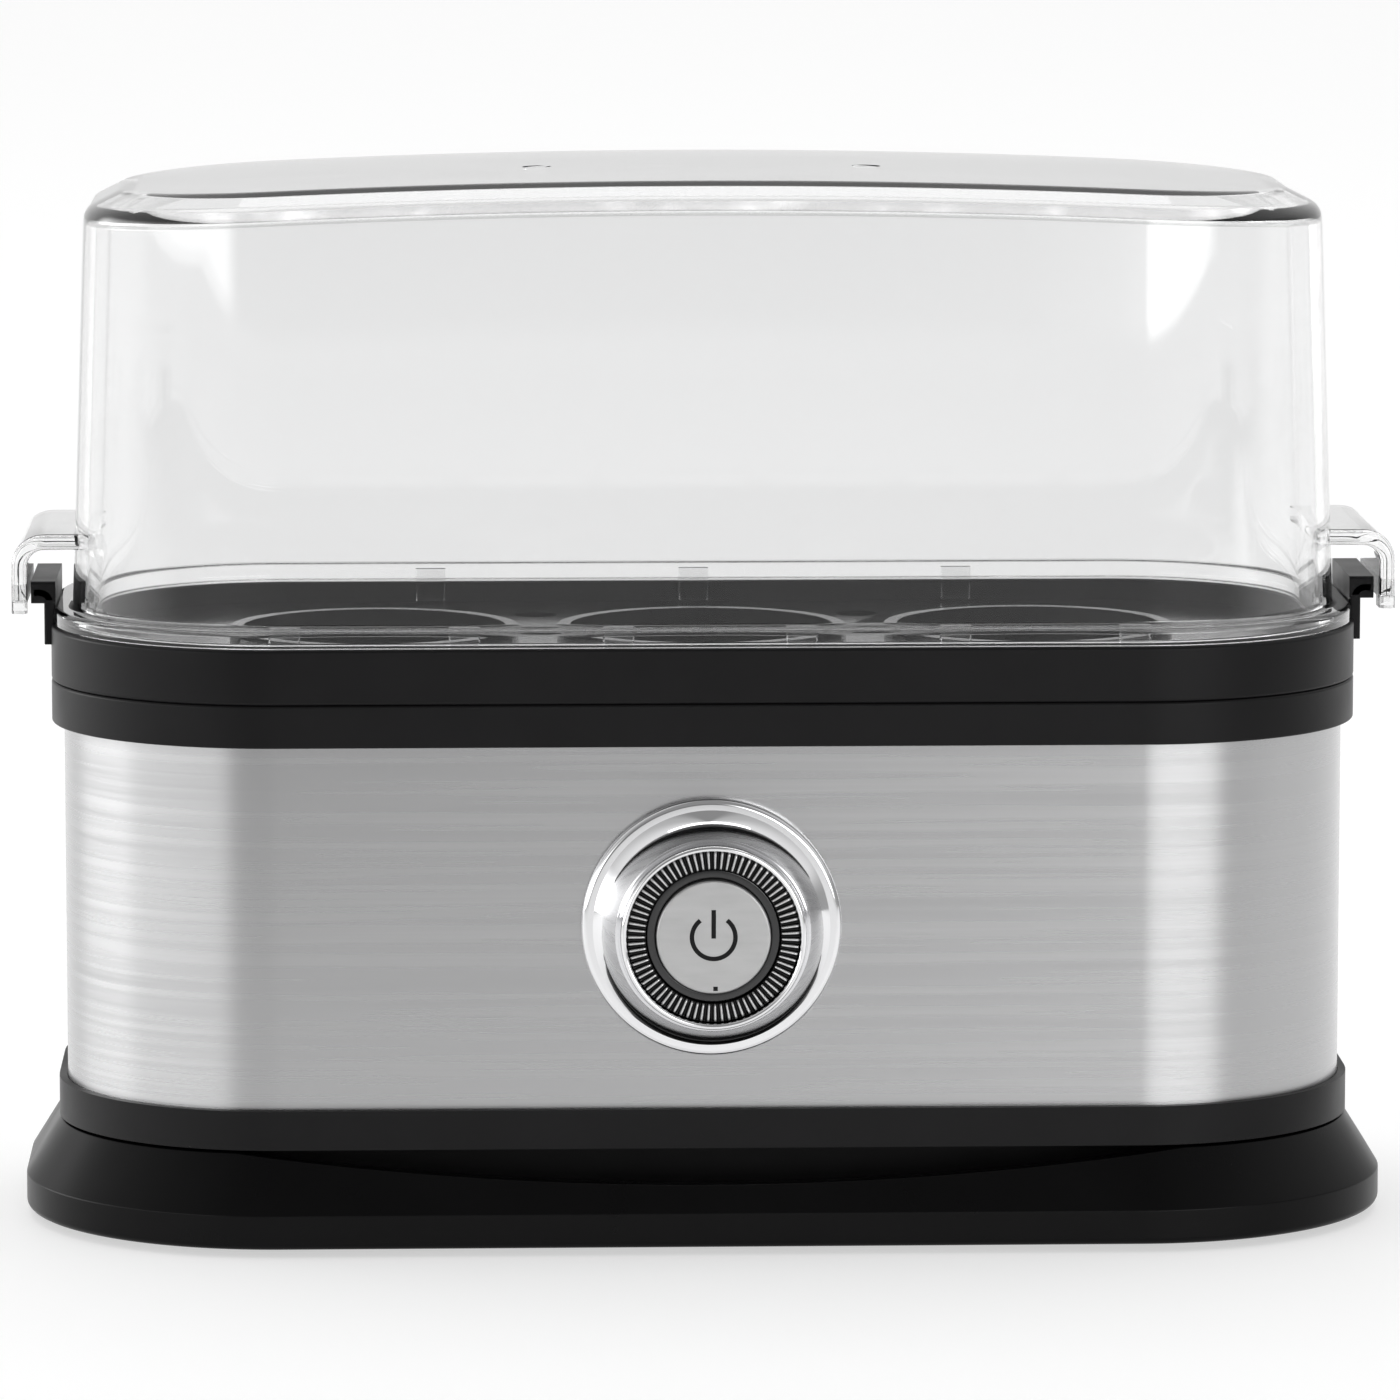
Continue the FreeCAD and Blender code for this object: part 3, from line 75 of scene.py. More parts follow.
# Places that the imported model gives. The two black bands part at SEAM_Z, and the lid stands on RIM_Z.
# FIT is the gap round a piece that sits in another.
PLINTH_LOW, PLINTH_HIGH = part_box("base_plinth")
HALF_WIDTH = PLINTH_HIGH.x
HALF_DEPTH = (PLINTH_HIGH.y - PLINTH_LOW.y) / 2
MIDDLE_Y = (PLINTH_HIGH.y + PLINTH_LOW.y) / 2
SKIRT_Z = PLINTH_HIGH.z + 0.4 * MM
SLEEVE_LOW, SLEEVE_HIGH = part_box("steel_sleeve")
COLLAR_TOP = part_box("housing_collar")[1].z
FRAME_LOW, FRAME_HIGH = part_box("rack_frame")
PLATE_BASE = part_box("rack_plate")[0].z
LID_LOW, LID_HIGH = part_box("lid")
LOOPS_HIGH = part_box("lid_loops")[1]
BEZEL_LOW, BEZEL_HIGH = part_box("control_bezel")
RING_LOW, RING_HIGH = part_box("knurled_ring")
LENS_LOW, LENS_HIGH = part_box("light_ring")
BUTTON_LOW, BUTTON_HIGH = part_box("power_button")
FACE_Y = SLEEVE_LOW.y
CONTROL_Z = (BUTTON_LOW.z + BUTTON_HIGH.z) / 2
SEAM_Z = FRAME_LOW.z
RIM_Z = SEAM_Z + 7.6 * MM
FIT = 0.1 * MM


def length(name, value_mm, description):
    """A length property whose default is given in millimetres."""
    return FloatProperty(name=name, description=description, default=value_mm * MM, min=0.0,
                         unit="LENGTH", subtype="DISTANCE")


def colour(name, value, description):
    """A colour property."""
    return FloatVectorProperty(name=name, description=description, default=value, size=3,
                               min=0.0, max=1.0, subtype="COLOR")


class CookerShells(PropertyGroup):
    """Sizes of the plinth, sleeve, bands and lid."""
    corner_radius: length("Corner radius", 36.0, "Plan radius of the plinth's corners")
    plinth_wall: length("Plinth wall", 2.4, "Level thickness of the plinth's wall")
    plinth_floor: length("Plinth floor", 2.4, "Thickness of the plinth's floor")
    rim_height: length("Rim height", 5.8, "Top of the plinth's upright rim above the table")
    flare_inset: length("Flare inset", 4.9, "Inset of the plinth's flared wall at its top")
    window_half: length("Window half width", 68.0, "Half width of the dip that the lead winds in by")
    window_dip: length("Window dip", 4.6, "Depth of that dip")
    notch_radius: length("Notch radius", 4.0, "Notch for the lead in the plinth's back wall")
    sheet: length("Steel sheet", 0.6, "Thickness of the brushed sleeve")
    band_inset: length("Band inset", 4.2, "Inset of the two black bands")
    inner_inset: length("Inner inset", 9.1, "Inset of the bands' inner face")
    lid_wall: length("Lid wall", 1.8, "Thickness of the lid")
    lid_foot: length("Lid foot inset", 7.2, "Inset of the lid wall's foot")
    lid_top: length("Lid top inset", 9.2, "Inset of the lid wall's top")
    lid_crown: length("Lid crown", 2.8, "Rise of the roof from its ends to its middle")
    lid_bevel: length("Lid bevel", 5.2, "Width of the sloping edge of the roof")
    lid_bevel_drop: length("Lid bevel drop", 2.3, "Fall of that edge from the roof to the wall")
    lid_flange: length("Lid flange inset", 4.6, "Inset of the lid's flange")


class CookerControl(PropertyGroup):
    """Sizes of the control on the steel front."""
    bezel_lip: length("Bezel lip", 12.6, "Outer radius of the chrome lip")
    bezel_bore: length("Bezel bore", 11.8, "Inner radius of the chrome lip")
    rim_sheet: length("Rim thickness", 1.6, "Thickness of the flare at its rim")
    tooth_count: IntProperty(name="Teeth", description="Ribs round the knurled ring", default=75, min=12)
    tooth_depth: length("Tooth depth", 0.55, "Depth of the grooves between the ribs")
    icon_radius: length("Icon radius", 2.95, "Radius of the power symbol's ring")
    icon_stroke: length("Icon stroke", 0.62, "Width of the power symbol's lines")


class CookerFinish(PropertyGroup):
    """Colours of the finishes."""
    black: colour("Black moulding", (0.0052, 0.005, 0.0054), "Plinth, housing and bands")
    steel: colour("Steel", (0.495, 0.495, 0.499), "Brushed sleeve")
    chrome: colour("Chrome", (0.86, 0.86, 0.87), "Bezel")
    clear: colour("Clear lid", (0.93, 0.931, 0.932), "Tint of the lid")
    satin: colour("Satin silver", (0.46, 0.46, 0.46), "Push button")


# ---- surfaces ----

def outline_track(radius, arc_steps=40, run_steps=30):
    """The path that every level ring follows, and the way out from it.

    It goes round the four corner centres: in a corner the centre stays and the way out turns a quarter,
    and along a side the way out stays and the centre slides to the next one.
    """
    x, y = HALF_WIDTH - radius, HALF_DEPTH - radius
    corners = np.array([(x, -y), (x, y), (-x, y), (-x, -y)])
    turn = np.linspace(0, math.pi / 2, arc_steps, endpoint=False)
    slide = np.linspace(0, 1, run_steps, endpoint=False)[:, None]
    centres, angles = [], []
    for i, here in enumerate(corners):
        start = (i - 1) * math.pi / 2
        centres += [np.repeat(here[None], arc_steps, 0), here + slide * (corners[(i + 1) % 4] - here)]
        angles += [start + turn, np.full(run_steps, start + math.pi / 2)]
    angles = np.concatenate(angles)
    return np.vstack(centres), np.column_stack([np.cos(angles), np.sin(angles)])


def ring_grid(profile, radius, scale=None):
    """A profile of (inset, height) carried round the track.

    Each point is scale times (centre + (radius - inset) * way out), moved back by MIDDLE_Y, at its height.
    """
    inset, height = np.asarray(profile, float).T
    centres, outward = outline_track(radius)
    flat = centres[None] + (radius - inset)[:, None, None] * outward[None]
    if scale is not None:
        flat = flat * np.asarray(scale)[:, None, None]
    level = np.broadcast_to(height[:, None], flat.shape[:2])
    return np.dstack([flat[..., 0], flat[..., 1] + MIDDLE_Y, level])


def rounded(corners, radii, closed=True, steps=6):
    """An outline whose corners are arcs tangent to both sides.

    An arc's middle lies on the corner's bisector at radius / sin(half the corner), and it is swept by
    turning from one tangent point to the other. An open outline keeps its two ends as they are.
    """
    here = np.asarray(corners, float)
    radii = np.broadcast_to(np.asarray(radii, float), len(here)).copy()
    back = np.roll(here, 1, 0) - here
    ahead = np.roll(here, -1, 0) - here
    ends = here[0], here[-1]
    if not closed:
        here, back, ahead, radii = here[1:-1], back[1:-1], ahead[1:-1], radii[1:-1]
    back = back / np.linalg.norm(back, axis=1)[:, None]
    ahead = ahead / np.linalg.norm(ahead, axis=1)[:, None]
    half = np.arccos(np.clip((back * ahead).sum(1), -1, 1)) / 2
    reach = (radii / np.tan(half))[:, None]
    bisector = back + ahead
    bisector /= np.linalg.norm(bisector, axis=1)[:, None]
    middle = here + bisector * (radii / np.sin(half))[:, None]
    sweep = (math.pi - 2 * half)[:, None, None]
    share = np.linspace(0, 1, steps)[None, :, None]
    start, stop = (here + back * reach - middle)[:, None], (here + ahead * reach - middle)[:, None]
    arcs = (np.sin((1 - share) * sweep) * start + np.sin(share * sweep) * stop) / np.sin(sweep)
    path = (middle[:, None] + arcs).reshape(-1, 2)
    return path if closed else np.vstack([ends[0], path, ends[1]])


def turned_grid(profile, steps=128):
    """A profile of (radius, distance in front of the steel) turned about the control's axis."""
    radius, front = np.asarray(profile, float).T
    angle = np.linspace(0, 2 * math.pi, steps, endpoint=False)
    across = radius[:, None] * np.cos(angle)
    up = CONTROL_Z + radius[:, None] * np.sin(angle)
    return np.dstack([across, np.broadcast_to((FACE_Y - front)[:, None], across.shape), up])


def upright_grid(profile, x, y, steps=48):
    """A profile of (radius, height) turned about an upright axis at x, y."""
    radius, height = np.asarray(profile, float).T
    angle = np.linspace(0, 2 * math.pi, steps, endpoint=False)
    east = x + radius[:, None] * np.cos(angle)
    north = y + radius[:, None] * np.sin(angle)
    return np.dstack([east, north, np.broadcast_to(height[:, None], east.shape)])


def swept_grid(path, section):
    """A section carried along a flat path: path point + section's first value along the path's left normal,
    and its second value across the plane. Both ends close to the path's end points."""
    step = np.gradient(path, axis=0)
    step /= np.linalg.norm(step, axis=1)[:, None]
    normal = np.column_stack([-step[:, 1], step[:, 0]])
    flat = path[:, None] + section[None, :, :1] * normal[:, None]
    across = np.broadcast_to(section[None, :, 1], flat.shape[:2])
    body = np.dstack([flat, across])
    cap = np.zeros((1, len(section), 3))
    first, last = cap + [*path[0], 0.0], cap + [*path[-1], 0.0]
    return np.concatenate([first, body, last])


def bar_section(thick, wide, radius):
    """A rounded rectangle, thick along the normal and wide across the plane."""
    a, b = thick / 2, wide / 2
    return rounded([(a, -b), (a, b), (-a, b), (-a, -b)], radius, steps=5)


def grid_faces(rows, columns, wrap_rows):
    """Quads between neighbouring grid points. Columns always close on themselves."""
    i = np.arange(rows if wrap_rows else rows - 1)[:, None]
    j = np.arange(columns)[None, :]
    beside, below = (j + 1) % columns, (i + 1) % rows
    quads = [i * columns + j, i * columns + beside, below * columns + beside, below * columns + j]
    return np.stack(quads, -1).reshape(-1, 4)


def make_piece(name, grids, wrap_rows=False):
    """One mesh object from closed grids: poles and seams merged, and faces turned outwards."""
    points, faces, count = [], [], 0
    for grid in grids:
        rows, columns = grid.shape[:2]
        points.append(grid.reshape(-1, 3))
        faces.append(grid_faces(rows, columns, wrap_rows) + count)
        count += rows * columns
    mesh = bpy.data.meshes.new(name)
    mesh.from_pydata(np.concatenate(points).tolist(), [], np.concatenate(faces).tolist())
    piece = bpy.data.objects.new(name, mesh)
    bpy.context.scene.collection.objects.link(piece)
    merge_points(mesh)
    return piece


def merge_points(mesh, outwards=True, flat_angle=None):
    """Merge doubles, join triangles that lie flat within an angle in degrees, and turn faces outwards."""
    work = bmesh.new()
    work.from_mesh(mesh)
    bmesh.ops.remove_doubles(work, verts=work.verts, dist=0.5e-6)
    if flat_angle:
        limit = math.radians(flat_angle)
        bmesh.ops.dissolve_limit(work, angle_limit=limit, verts=work.verts, edges=work.edges)
    if outwards:
        bmesh.ops.recalc_face_normals(work, faces=work.faces)
    work.to_mesh(mesh)
    work.free()


def combine(piece, tool, operation):
    """Join a closed tool mesh to a piece, or cut it out, and drop the tool."""
    modifier = piece.modifiers.new("combine", "BOOLEAN")
    modifier.operation = operation
    modifier.solver = "EXACT"
    modifier.object = tool
    result = piece.evaluated_get(bpy.context.evaluated_depsgraph_get())
    mesh = bpy.data.meshes.new_from_object(result)
    piece.modifiers.clear()
    mesh.name = piece.name
    piece.data = mesh
    bpy.data.objects.remove(tool)
    if len(mesh.polygons) == 0:
        raise RuntimeError(f"{piece.name}: nothing is left after the cut")


def smooth(piece, weighted):
    """Smooth shading that breaks at real edges. Weighted normals keep flat faces flat."""
    mesh = piece.data
    mesh.polygons.foreach_set("use_smooth", np.ones(len(mesh.polygons), bool))
    mesh.set_sharp_from_angle(angle=math.radians(EDGE_ANGLE))
    if weighted:
        piece.modifiers.new("weighted_normals", "WEIGHTED_NORMAL").keep_sharp = True


def finish_piece(piece, material, body, slot, *nodes, weighted=True):
    """Smooth a piece, give it its finish, and let it ride on its body in place of its nodes."""
    smooth(piece, weighted)
    piece.data.materials.clear()
    piece.data.materials.append(material)
    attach(piece, body)
    if nodes:
        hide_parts(*nodes)
    return piece


def refined_copy(name, node, material, body, slot):
    """A merged, smooth-shaded copy of a node's own mesh, which stands for it."""
    mesh = frame["nodes"][node].data.copy()
    mesh.name = name
    merge_points(mesh, outwards=False, flat_angle=0.4)
    if mesh.has_custom_normals:
        mesh.normals_split_custom_set([(0.0, 0.0, 0.0)] * len(mesh.loops))
    piece = bpy.data.objects.new(name, mesh)
    bpy.context.scene.collection.objects.link(piece)
    return finish_piece(piece, material, body, slot, node, weighted=False)


# ---- finishes ----

class Finish:
    """One procedural finish: a Principled shader fed by noise on Object coordinates."""

    def __init__(self, name, base, roughness, metallic=0.0, **settings):
        self.material = bpy.data.materials.new(name)
        self.material.use_nodes = True
        self.tree = self.material.node_tree
        self.shader = self.tree.nodes["Principled BSDF"]
        self.base = tuple(base)
        self.set("Base Color", (*self.base, 1.0))
        self.set("Roughness", roughness)
        self.set("Metallic", metallic)
        for socket, value in settings.items():
            self.set(socket.replace("_", " ").title().replace("Ior", "IOR"), value)
        self.place = self.tree.nodes.new("ShaderNodeTexCoord")
        self.height = None

    def set(self, socket, value):
        """Put a constant on one of the shader's sockets."""
        self.shader.inputs[socket].default_value = value

    def node(self, kind, **values):
        """A new node. Each value goes to the input of that name, or else to the node itself."""
        made = self.tree.nodes.new(kind)
        for key, value in values.items():
            if key in made.inputs:
                made.inputs[key].default_value = value
            else:
                setattr(made, key, value)
        return made

    def join(self, source, target):
        """Link an output to an input."""
        self.tree.links.new(source, target)

    def noise(self, scale, detail=3.0, stretch=(1.0, 1.0, 1.0)):
        """Noise whose cells are 1 / scale metres across, divided by stretch along each axis."""
        mapping = self.node("ShaderNodeMapping", Scale=stretch)
        self.join(self.place.outputs["Object"], mapping.inputs["Vector"])
        made = self.node("ShaderNodeTexNoise", Scale=scale, Detail=detail)
        self.join(mapping.outputs["Vector"], made.inputs["Vector"])
        return made.outputs["Fac"]

    def spread(self, source, low, high, start=0.3, stop=0.7):
        """Map values from start to stop to the range from low to high, and hold them past its ends."""
        made = self.tree.nodes.new("ShaderNodeMapRange")
        for key, value in zip(("From Min", "From Max", "To Min", "To Max"), (start, stop, low, high)):
            made.inputs[key].default_value = value
        self.join(source, made.inputs["Value"])
        return made.outputs["Result"]

    def vary_roughness(self, source, low, high):
        """A roughness that follows the noise."""
        self.join(self.spread(source, low, high), self.shader.inputs["Roughness"])
        return self

    def vary_colour(self, source, darkest, lightest, start=0.3, stop=0.7):
        """The base colour times a factor that follows the noise."""
        mixed = self.tree.nodes.new("ShaderNodeMix")
        mixed.data_type = "RGBA"
        low = tuple(min(1.0, c * darkest) for c in self.base)
        high = tuple(min(1.0, c * lightest) for c in self.base)
        mixed.inputs[6].default_value = (*low, 1.0)
        mixed.inputs[7].default_value = (*high, 1.0)
        self.join(self.spread(source, 0.0, 1.0, start, stop), mixed.inputs["Factor"])
        self.join(mixed.outputs[2], self.shader.inputs["Base Color"])
        return self

    def bump(self, source, depth_mm):
        """Relief of a depth in millimetres, added to any relief before it."""
        made = self.node("ShaderNodeBump", Strength=1.0, Distance=depth_mm * MM)
        self.join(source, made.inputs["Height"])
        if self.height is not None:
            self.join(self.height, made.inputs["Normal"])
        self.height = made.outputs["Normal"]
        self.join(self.height, self.shader.inputs["Normal"])
        return self


def moulded(name, base, roughness, grain=3200.0, depth=0.006, **settings):
    """Moulded plastic: a fine spark-eroded grain, with slow changes of gloss."""
    made = Finish(name, base, roughness, **settings)
    made.vary_roughness(made.noise(90.0, 4.0), roughness * 0.88, roughness * 1.12)
    made.vary_colour(made.noise(140.0, 3.0), 0.9, 1.12)
    made.bump(made.noise(grain, 2.0), depth)
    return made.material


def rubbery(name, base, roughness):
    """Rubber: matte, mottled and slightly dusty."""
    made = Finish(name, base, roughness, Sheen_Weight=0.15)
    made.vary_colour(made.noise(600.0, 5.0), 0.8, 1.25)
    made.bump(made.noise(1500.0, 4.0), 0.02)
    return made.material


def brushed(name, base, roughness, stretch, anisotropic=0.8, rotation=0.25, depth=0.0003):
    """Brushed metal: long fine scratches along one axis in gloss, tone and relief."""
    made = Finish(name, base, roughness, 1.0, Anisotropic=anisotropic, Anisotropic_Rotation=rotation)
    fine = made.noise(5200.0, 2.0, stretch)
    broad = made.noise(900.0, 3.0, stretch)
    made.vary_roughness(broad, roughness * 0.86, roughness * 1.14)
    made.vary_colour(broad, 0.95, 1.05)
    made.bump(fine, depth)
    return made.material


def plated(name, base, roughness, depth=0.0015, **settings):
    """Plated metal: nearly even, with faint waviness and wipe marks."""
    made = Finish(name, base, roughness, 1.0, **settings)
    made.vary_roughness(made.noise(260.0, 4.0), roughness * 0.7, roughness * 1.5)
    made.bump(made.noise(320.0, 2.0), depth)
    return made.material


def clear_moulding(name, base):
    """Clear polycarbonate: refracting, faintly wavy, with very light wipe marks."""
    made = Finish(name, base, 0.015, Transmission_Weight=1.0, IOR=1.22, Coat_Weight=1.0,
                  Coat_Roughness=0.02)
    made.vary_roughness(made.noise(60.0, 5.0, (1.0, 1.0, 0.35)), 0.008, 0.03)
    made.bump(made.noise(45.0, 2.0, (1.0, 1.0, 0.5)), 0.02)
    return made.material


def knurled(name, base, ridge_y, groove_y):
    """Silver ridges over grooves with painted shade: the colour darkens with the depth behind the ring's
    front.
    """
    made = Finish(name, base, 0.3, 1.0)
    parts = made.node("ShaderNodeSeparateXYZ")
    made.join(made.place.outputs["Object"], parts.inputs["Vector"])
    # Painted shade: the silver falls to 3% of its tone from the ridges' depth to the grooves' depth.
    made.vary_colour(parts.outputs["Y"], 1.0, 0.03, ridge_y, groove_y)
    made.bump(made.noise(2400.0, 2.0), 0.004)
    return made.material


def slot_finishes(settings):
    """The finishes by the record's slot names."""
    black = np.array(settings.black)
    along = (0.012, 0.012, 1.0)
    silver = (0.62, 0.62, 0.62)
    return {
        "black_plinth": moulded("black_plinth", black * 0.4, 0.3, 2600.0, 0.004, Specular_IOR_Level=0.11),
        "black_plastic": moulded("black_plastic", black, 0.4, Specular_IOR_Level=0.16),
        "black_band": moulded("black_band", black, 0.36, 3000.0, 0.004, Specular_IOR_Level=0.16),
        "black_gloss": moulded("black_gloss", black * 1.4, 0.14, 1200.0, 0.001),
        "foot_rubber": rubbery("foot_rubber", (0.012, 0.012, 0.012), 0.75),
        "gland_rubber": rubbery("gland_rubber", (0.01, 0.01, 0.01), 0.65),
        "seal_silicone": moulded("seal_silicone", (0.55, 0.53, 0.5), 0.5, Subsurface_Weight=0.3),
        "brushed_steel": brushed("brushed_steel", settings.steel, 0.27, along),
        "pan_steel": brushed("pan_steel", (0.66, 0.655, 0.65), 0.2, (0.05, 1.0, 1.0), 0.3, 0.0, 0.0006),
        "screw_steel": plated("screw_steel", (0.62, 0.61, 0.58), 0.28),
        "spring_steel": plated("spring_steel", (0.5, 0.5, 0.5), 0.3),
        "spreader_aluminium": plated("spreader_aluminium", (0.72, 0.72, 0.72), 0.5, 0.02),
        "element_sheath": plated("element_sheath", (0.4, 0.4, 0.41), 0.42, 0.01),
        "thermostat_body": moulded("thermostat_body", (0.2, 0.1, 0.055), 0.45),
        "fuse_can": plated("fuse_can", (0.72, 0.68, 0.58), 0.35),
        "terminal_nylon": moulded("terminal_nylon", (0.72, 0.7, 0.64), 0.5, Subsurface_Weight=0.2),
        "switch_nylon": moulded("switch_nylon", (0.05, 0.05, 0.05), 0.5),
        "clear_lid": clear_moulding("clear_lid", settings.clear),
        "chrome": plated("chrome", settings.chrome, 0.05),
        "knurled_chrome": knurled("knurled_chrome", silver, RING_LOW.y, RING_LOW.y + 0.45 * MM),
        "smoked_lens": moulded("smoked_lens", (0.012, 0.012, 0.013), 0.12, 900.0, 0.001, Coat_Weight=0.5),
        "button_satin": brushed("button_satin", settings.satin, 0.42, (0.2, 1.0, 1.0), 0.2, 0.0, 0.0008),
        "board_green": moulded("board_green", (0.02, 0.13, 0.06), 0.3),
        "led_lens": moulded("led_lens", (0.85, 0.85, 0.8), 0.2, Subsurface_Weight=0.2),
    }


FINISHES = {}


def finishes():
    """The finishes, made on the first call."""
    if not FINISHES:
        FINISHES.update(slot_finishes(bpy.context.scene.cooker_finish))
    return FINISHES


def crown_sag(x, shells):
    """How far the roof has fallen at x: the crown times the square of x over the roof's half width."""
    return shells.lid_crown * (x / (HALF_WIDTH - shells.lid_top)) ** 2


def plane_sweep(path, section, middle_y=MIDDLE_Y):
    """A sweep in the XZ plane, across the cooker at middle_y."""
    grid = swept_grid(np.asarray(path), section)
    return np.dstack([grid[..., 0], grid[..., 2] + middle_y, grid[..., 1]])


# ---- operators ----

class COOKER_OT_plinth(Operator):
    """Flared plinth: a dish with a dipped wall front and back, and a notch for the lead"""
    bl_idname = "cooker.plinth"
    bl_label = "Plinth"

    def execute(self, context):
        s = context.scene.cooker_shells
        base, top = PLINTH_LOW.z, PLINTH_HIGH.z
        slope = s.flare_inset / (top - s.rim_height)

        def section(height):
            """The wall cut off at a height, from the underside round to the floor's top."""
            lean = slope * (height - s.rim_height)
            floor_z = base + s.plinth_floor
            foot = s.corner_radius
            corners = [(foot, base), (0.0, base), (0.0, s.rim_height), (lean, height),
                       (lean + s.plinth_wall, height), (s.plinth_wall, s.rim_height),
                       (s.plinth_wall, floor_z), (foot, floor_z)]
            radii = np.array([0, 1.0, 0.5, 0.35, 0.35, 0.5, 0.4, 0]) * MM
            return rounded(corners, radii, closed=False)[1:-1]

        # Where the wall dips, its ring lies between the full one and the one cut off at the dip's foot.
        tall = ring_grid(section(top), s.corner_radius)
        cut = ring_grid(section(SKIRT_Z - s.window_dip), s.corner_radius)
        bow = (s.window_half ** 2 + s.window_dip ** 2) / (2 * s.window_dip)
        x = np.clip(np.abs(tall[..., 0]), 0, s.window_half)
        wall_top = np.minimum(SKIRT_Z - s.window_dip + bow - np.sqrt(bow ** 2 - x ** 2), top)
        share = (top - wall_top) / (top - SKIRT_Z + s.window_dip)
        wall = tall + share[..., None] * (cut - tall)
        middle = np.array([0.0, MIDDLE_Y, 0.0])
        under = [middle + (wall[:1] - middle) * [f, f, 1.0] for f in (0.0, 0.5)]
        over = [middle + (wall[-1:] - middle) * [f, f, 1.0] for f in (0.5, 0.0)]
        piece = make_piece("plinth", [np.concatenate(under + [wall] + over)])
        self.cut_recesses(piece, s)
        finish_piece(piece, finishes()["black_plinth"], "housing", "black_plinth", "base_plinth")
        return {"FINISHED"}

    def cut_recesses(self, piece, s):
        """Recesses for the feet and screws, and the lead's notch at the back."""
        low = PLINTH_LOW.z - 1 * MM
        feet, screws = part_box("rubber_feet"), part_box("plinth_screws")
        recesses = ((*feet, 6.0 * MM, feet[1].z - 0.01 * MM), (*screws, 2.6 * MM, screws[0].z + 1 * MM))
        grids = []
        for lowest, highest, radius, top in recesses:
            wide = radius + FIT
            for x in (lowest.x + radius, highest.x - radius):
                for y in (lowest.y + radius, highest.y - radius):
                    grids.append(upright_grid([(0, low), (wide, low), (wide, top), (0, top)], x, y))
        combine(piece, make_piece("plinth_cuts", grids), "DIFFERENCE")
        combine(piece, self.notch(s), "DIFFERENCE")

    def notch(self, s):
        """The notch's tool: a half circle under the gland's axis, open upwards, through the back wall."""
        gland_low, gland_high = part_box("cord_gland")
        x, z = (gland_low.x + gland_high.x) / 2, (gland_low.z + gland_high.z) / 2
        steps = np.linspace(math.pi, 2 * math.pi, 24)
        arch = np.column_stack([x + s.notch_radius * np.cos(steps), z + s.notch_radius * np.sin(steps)])
        head = z + 12 * MM
        arch = np.vstack([[x - s.notch_radius, head], arch, [x + s.notch_radius, head]])
        near, far = MIDDLE_Y + HALF_DEPTH - 9 * MM, MIDDLE_Y + HALF_DEPTH + 2 * MM
        cap = np.tile((x, z), (len(arch), 1))
        rows = [np.column_stack([line[:, 0], np.full(len(line), y), line[:, 1]])
                for line, y in ((cap, near), (arch, near), (arch, far), (cap, far))]
        return make_piece("notch_cut", [np.stack(rows)])


class COOKER_OT_housing(Operator):
    """Housing floor, skirt and neck, with the feet, screws and gland under it"""
    bl_idname = "cooker.housing"
    bl_label = "Housing"

    def execute(self, context):
        for name, node, slot in (
                ("housing_shell", "bottom_housing", "black_plastic"),
                ("feet", "rubber_feet", "foot_rubber"),
                ("plinth_screw_heads", "plinth_screws", "screw_steel"),
                ("lead_gland", "cord_gland", "gland_rubber")):
            refined_copy(name, node, finishes()[slot], "housing", slot)
        return {"FINISHED"}


class COOKER_OT_sleeve(Operator):
    """Brushed steel sleeve with its hole for the control"""
    bl_idname = "cooker.sleeve"
    bl_label = "Steel sleeve"

    def execute(self, context):
        s = context.scene.cooker_shells
        outer = HALF_WIDTH - SLEEVE_HIGH.x
        inner = outer + s.sheet
        profile = rounded([(outer, SLEEVE_LOW.z), (outer, SLEEVE_HIGH.z), (inner, SLEEVE_HIGH.z),
                           (inner, SLEEVE_LOW.z)], 0.1 * MM, steps=3)
        piece = make_piece("sleeve", [ring_grid(profile, s.corner_radius)], wrap_rows=True)
        hole, reach = 13.0 * MM, 4 * MM
        cylinder = turned_grid([(0, -reach), (hole, -reach), (hole, reach), (0, reach)])
        combine(piece, make_piece("sleeve_hole", [cylinder]), "DIFFERENCE")
        finish_piece(piece, finishes()["brushed_steel"], "housing", "brushed_steel", "steel_sleeve")
        return {"FINISHED"}


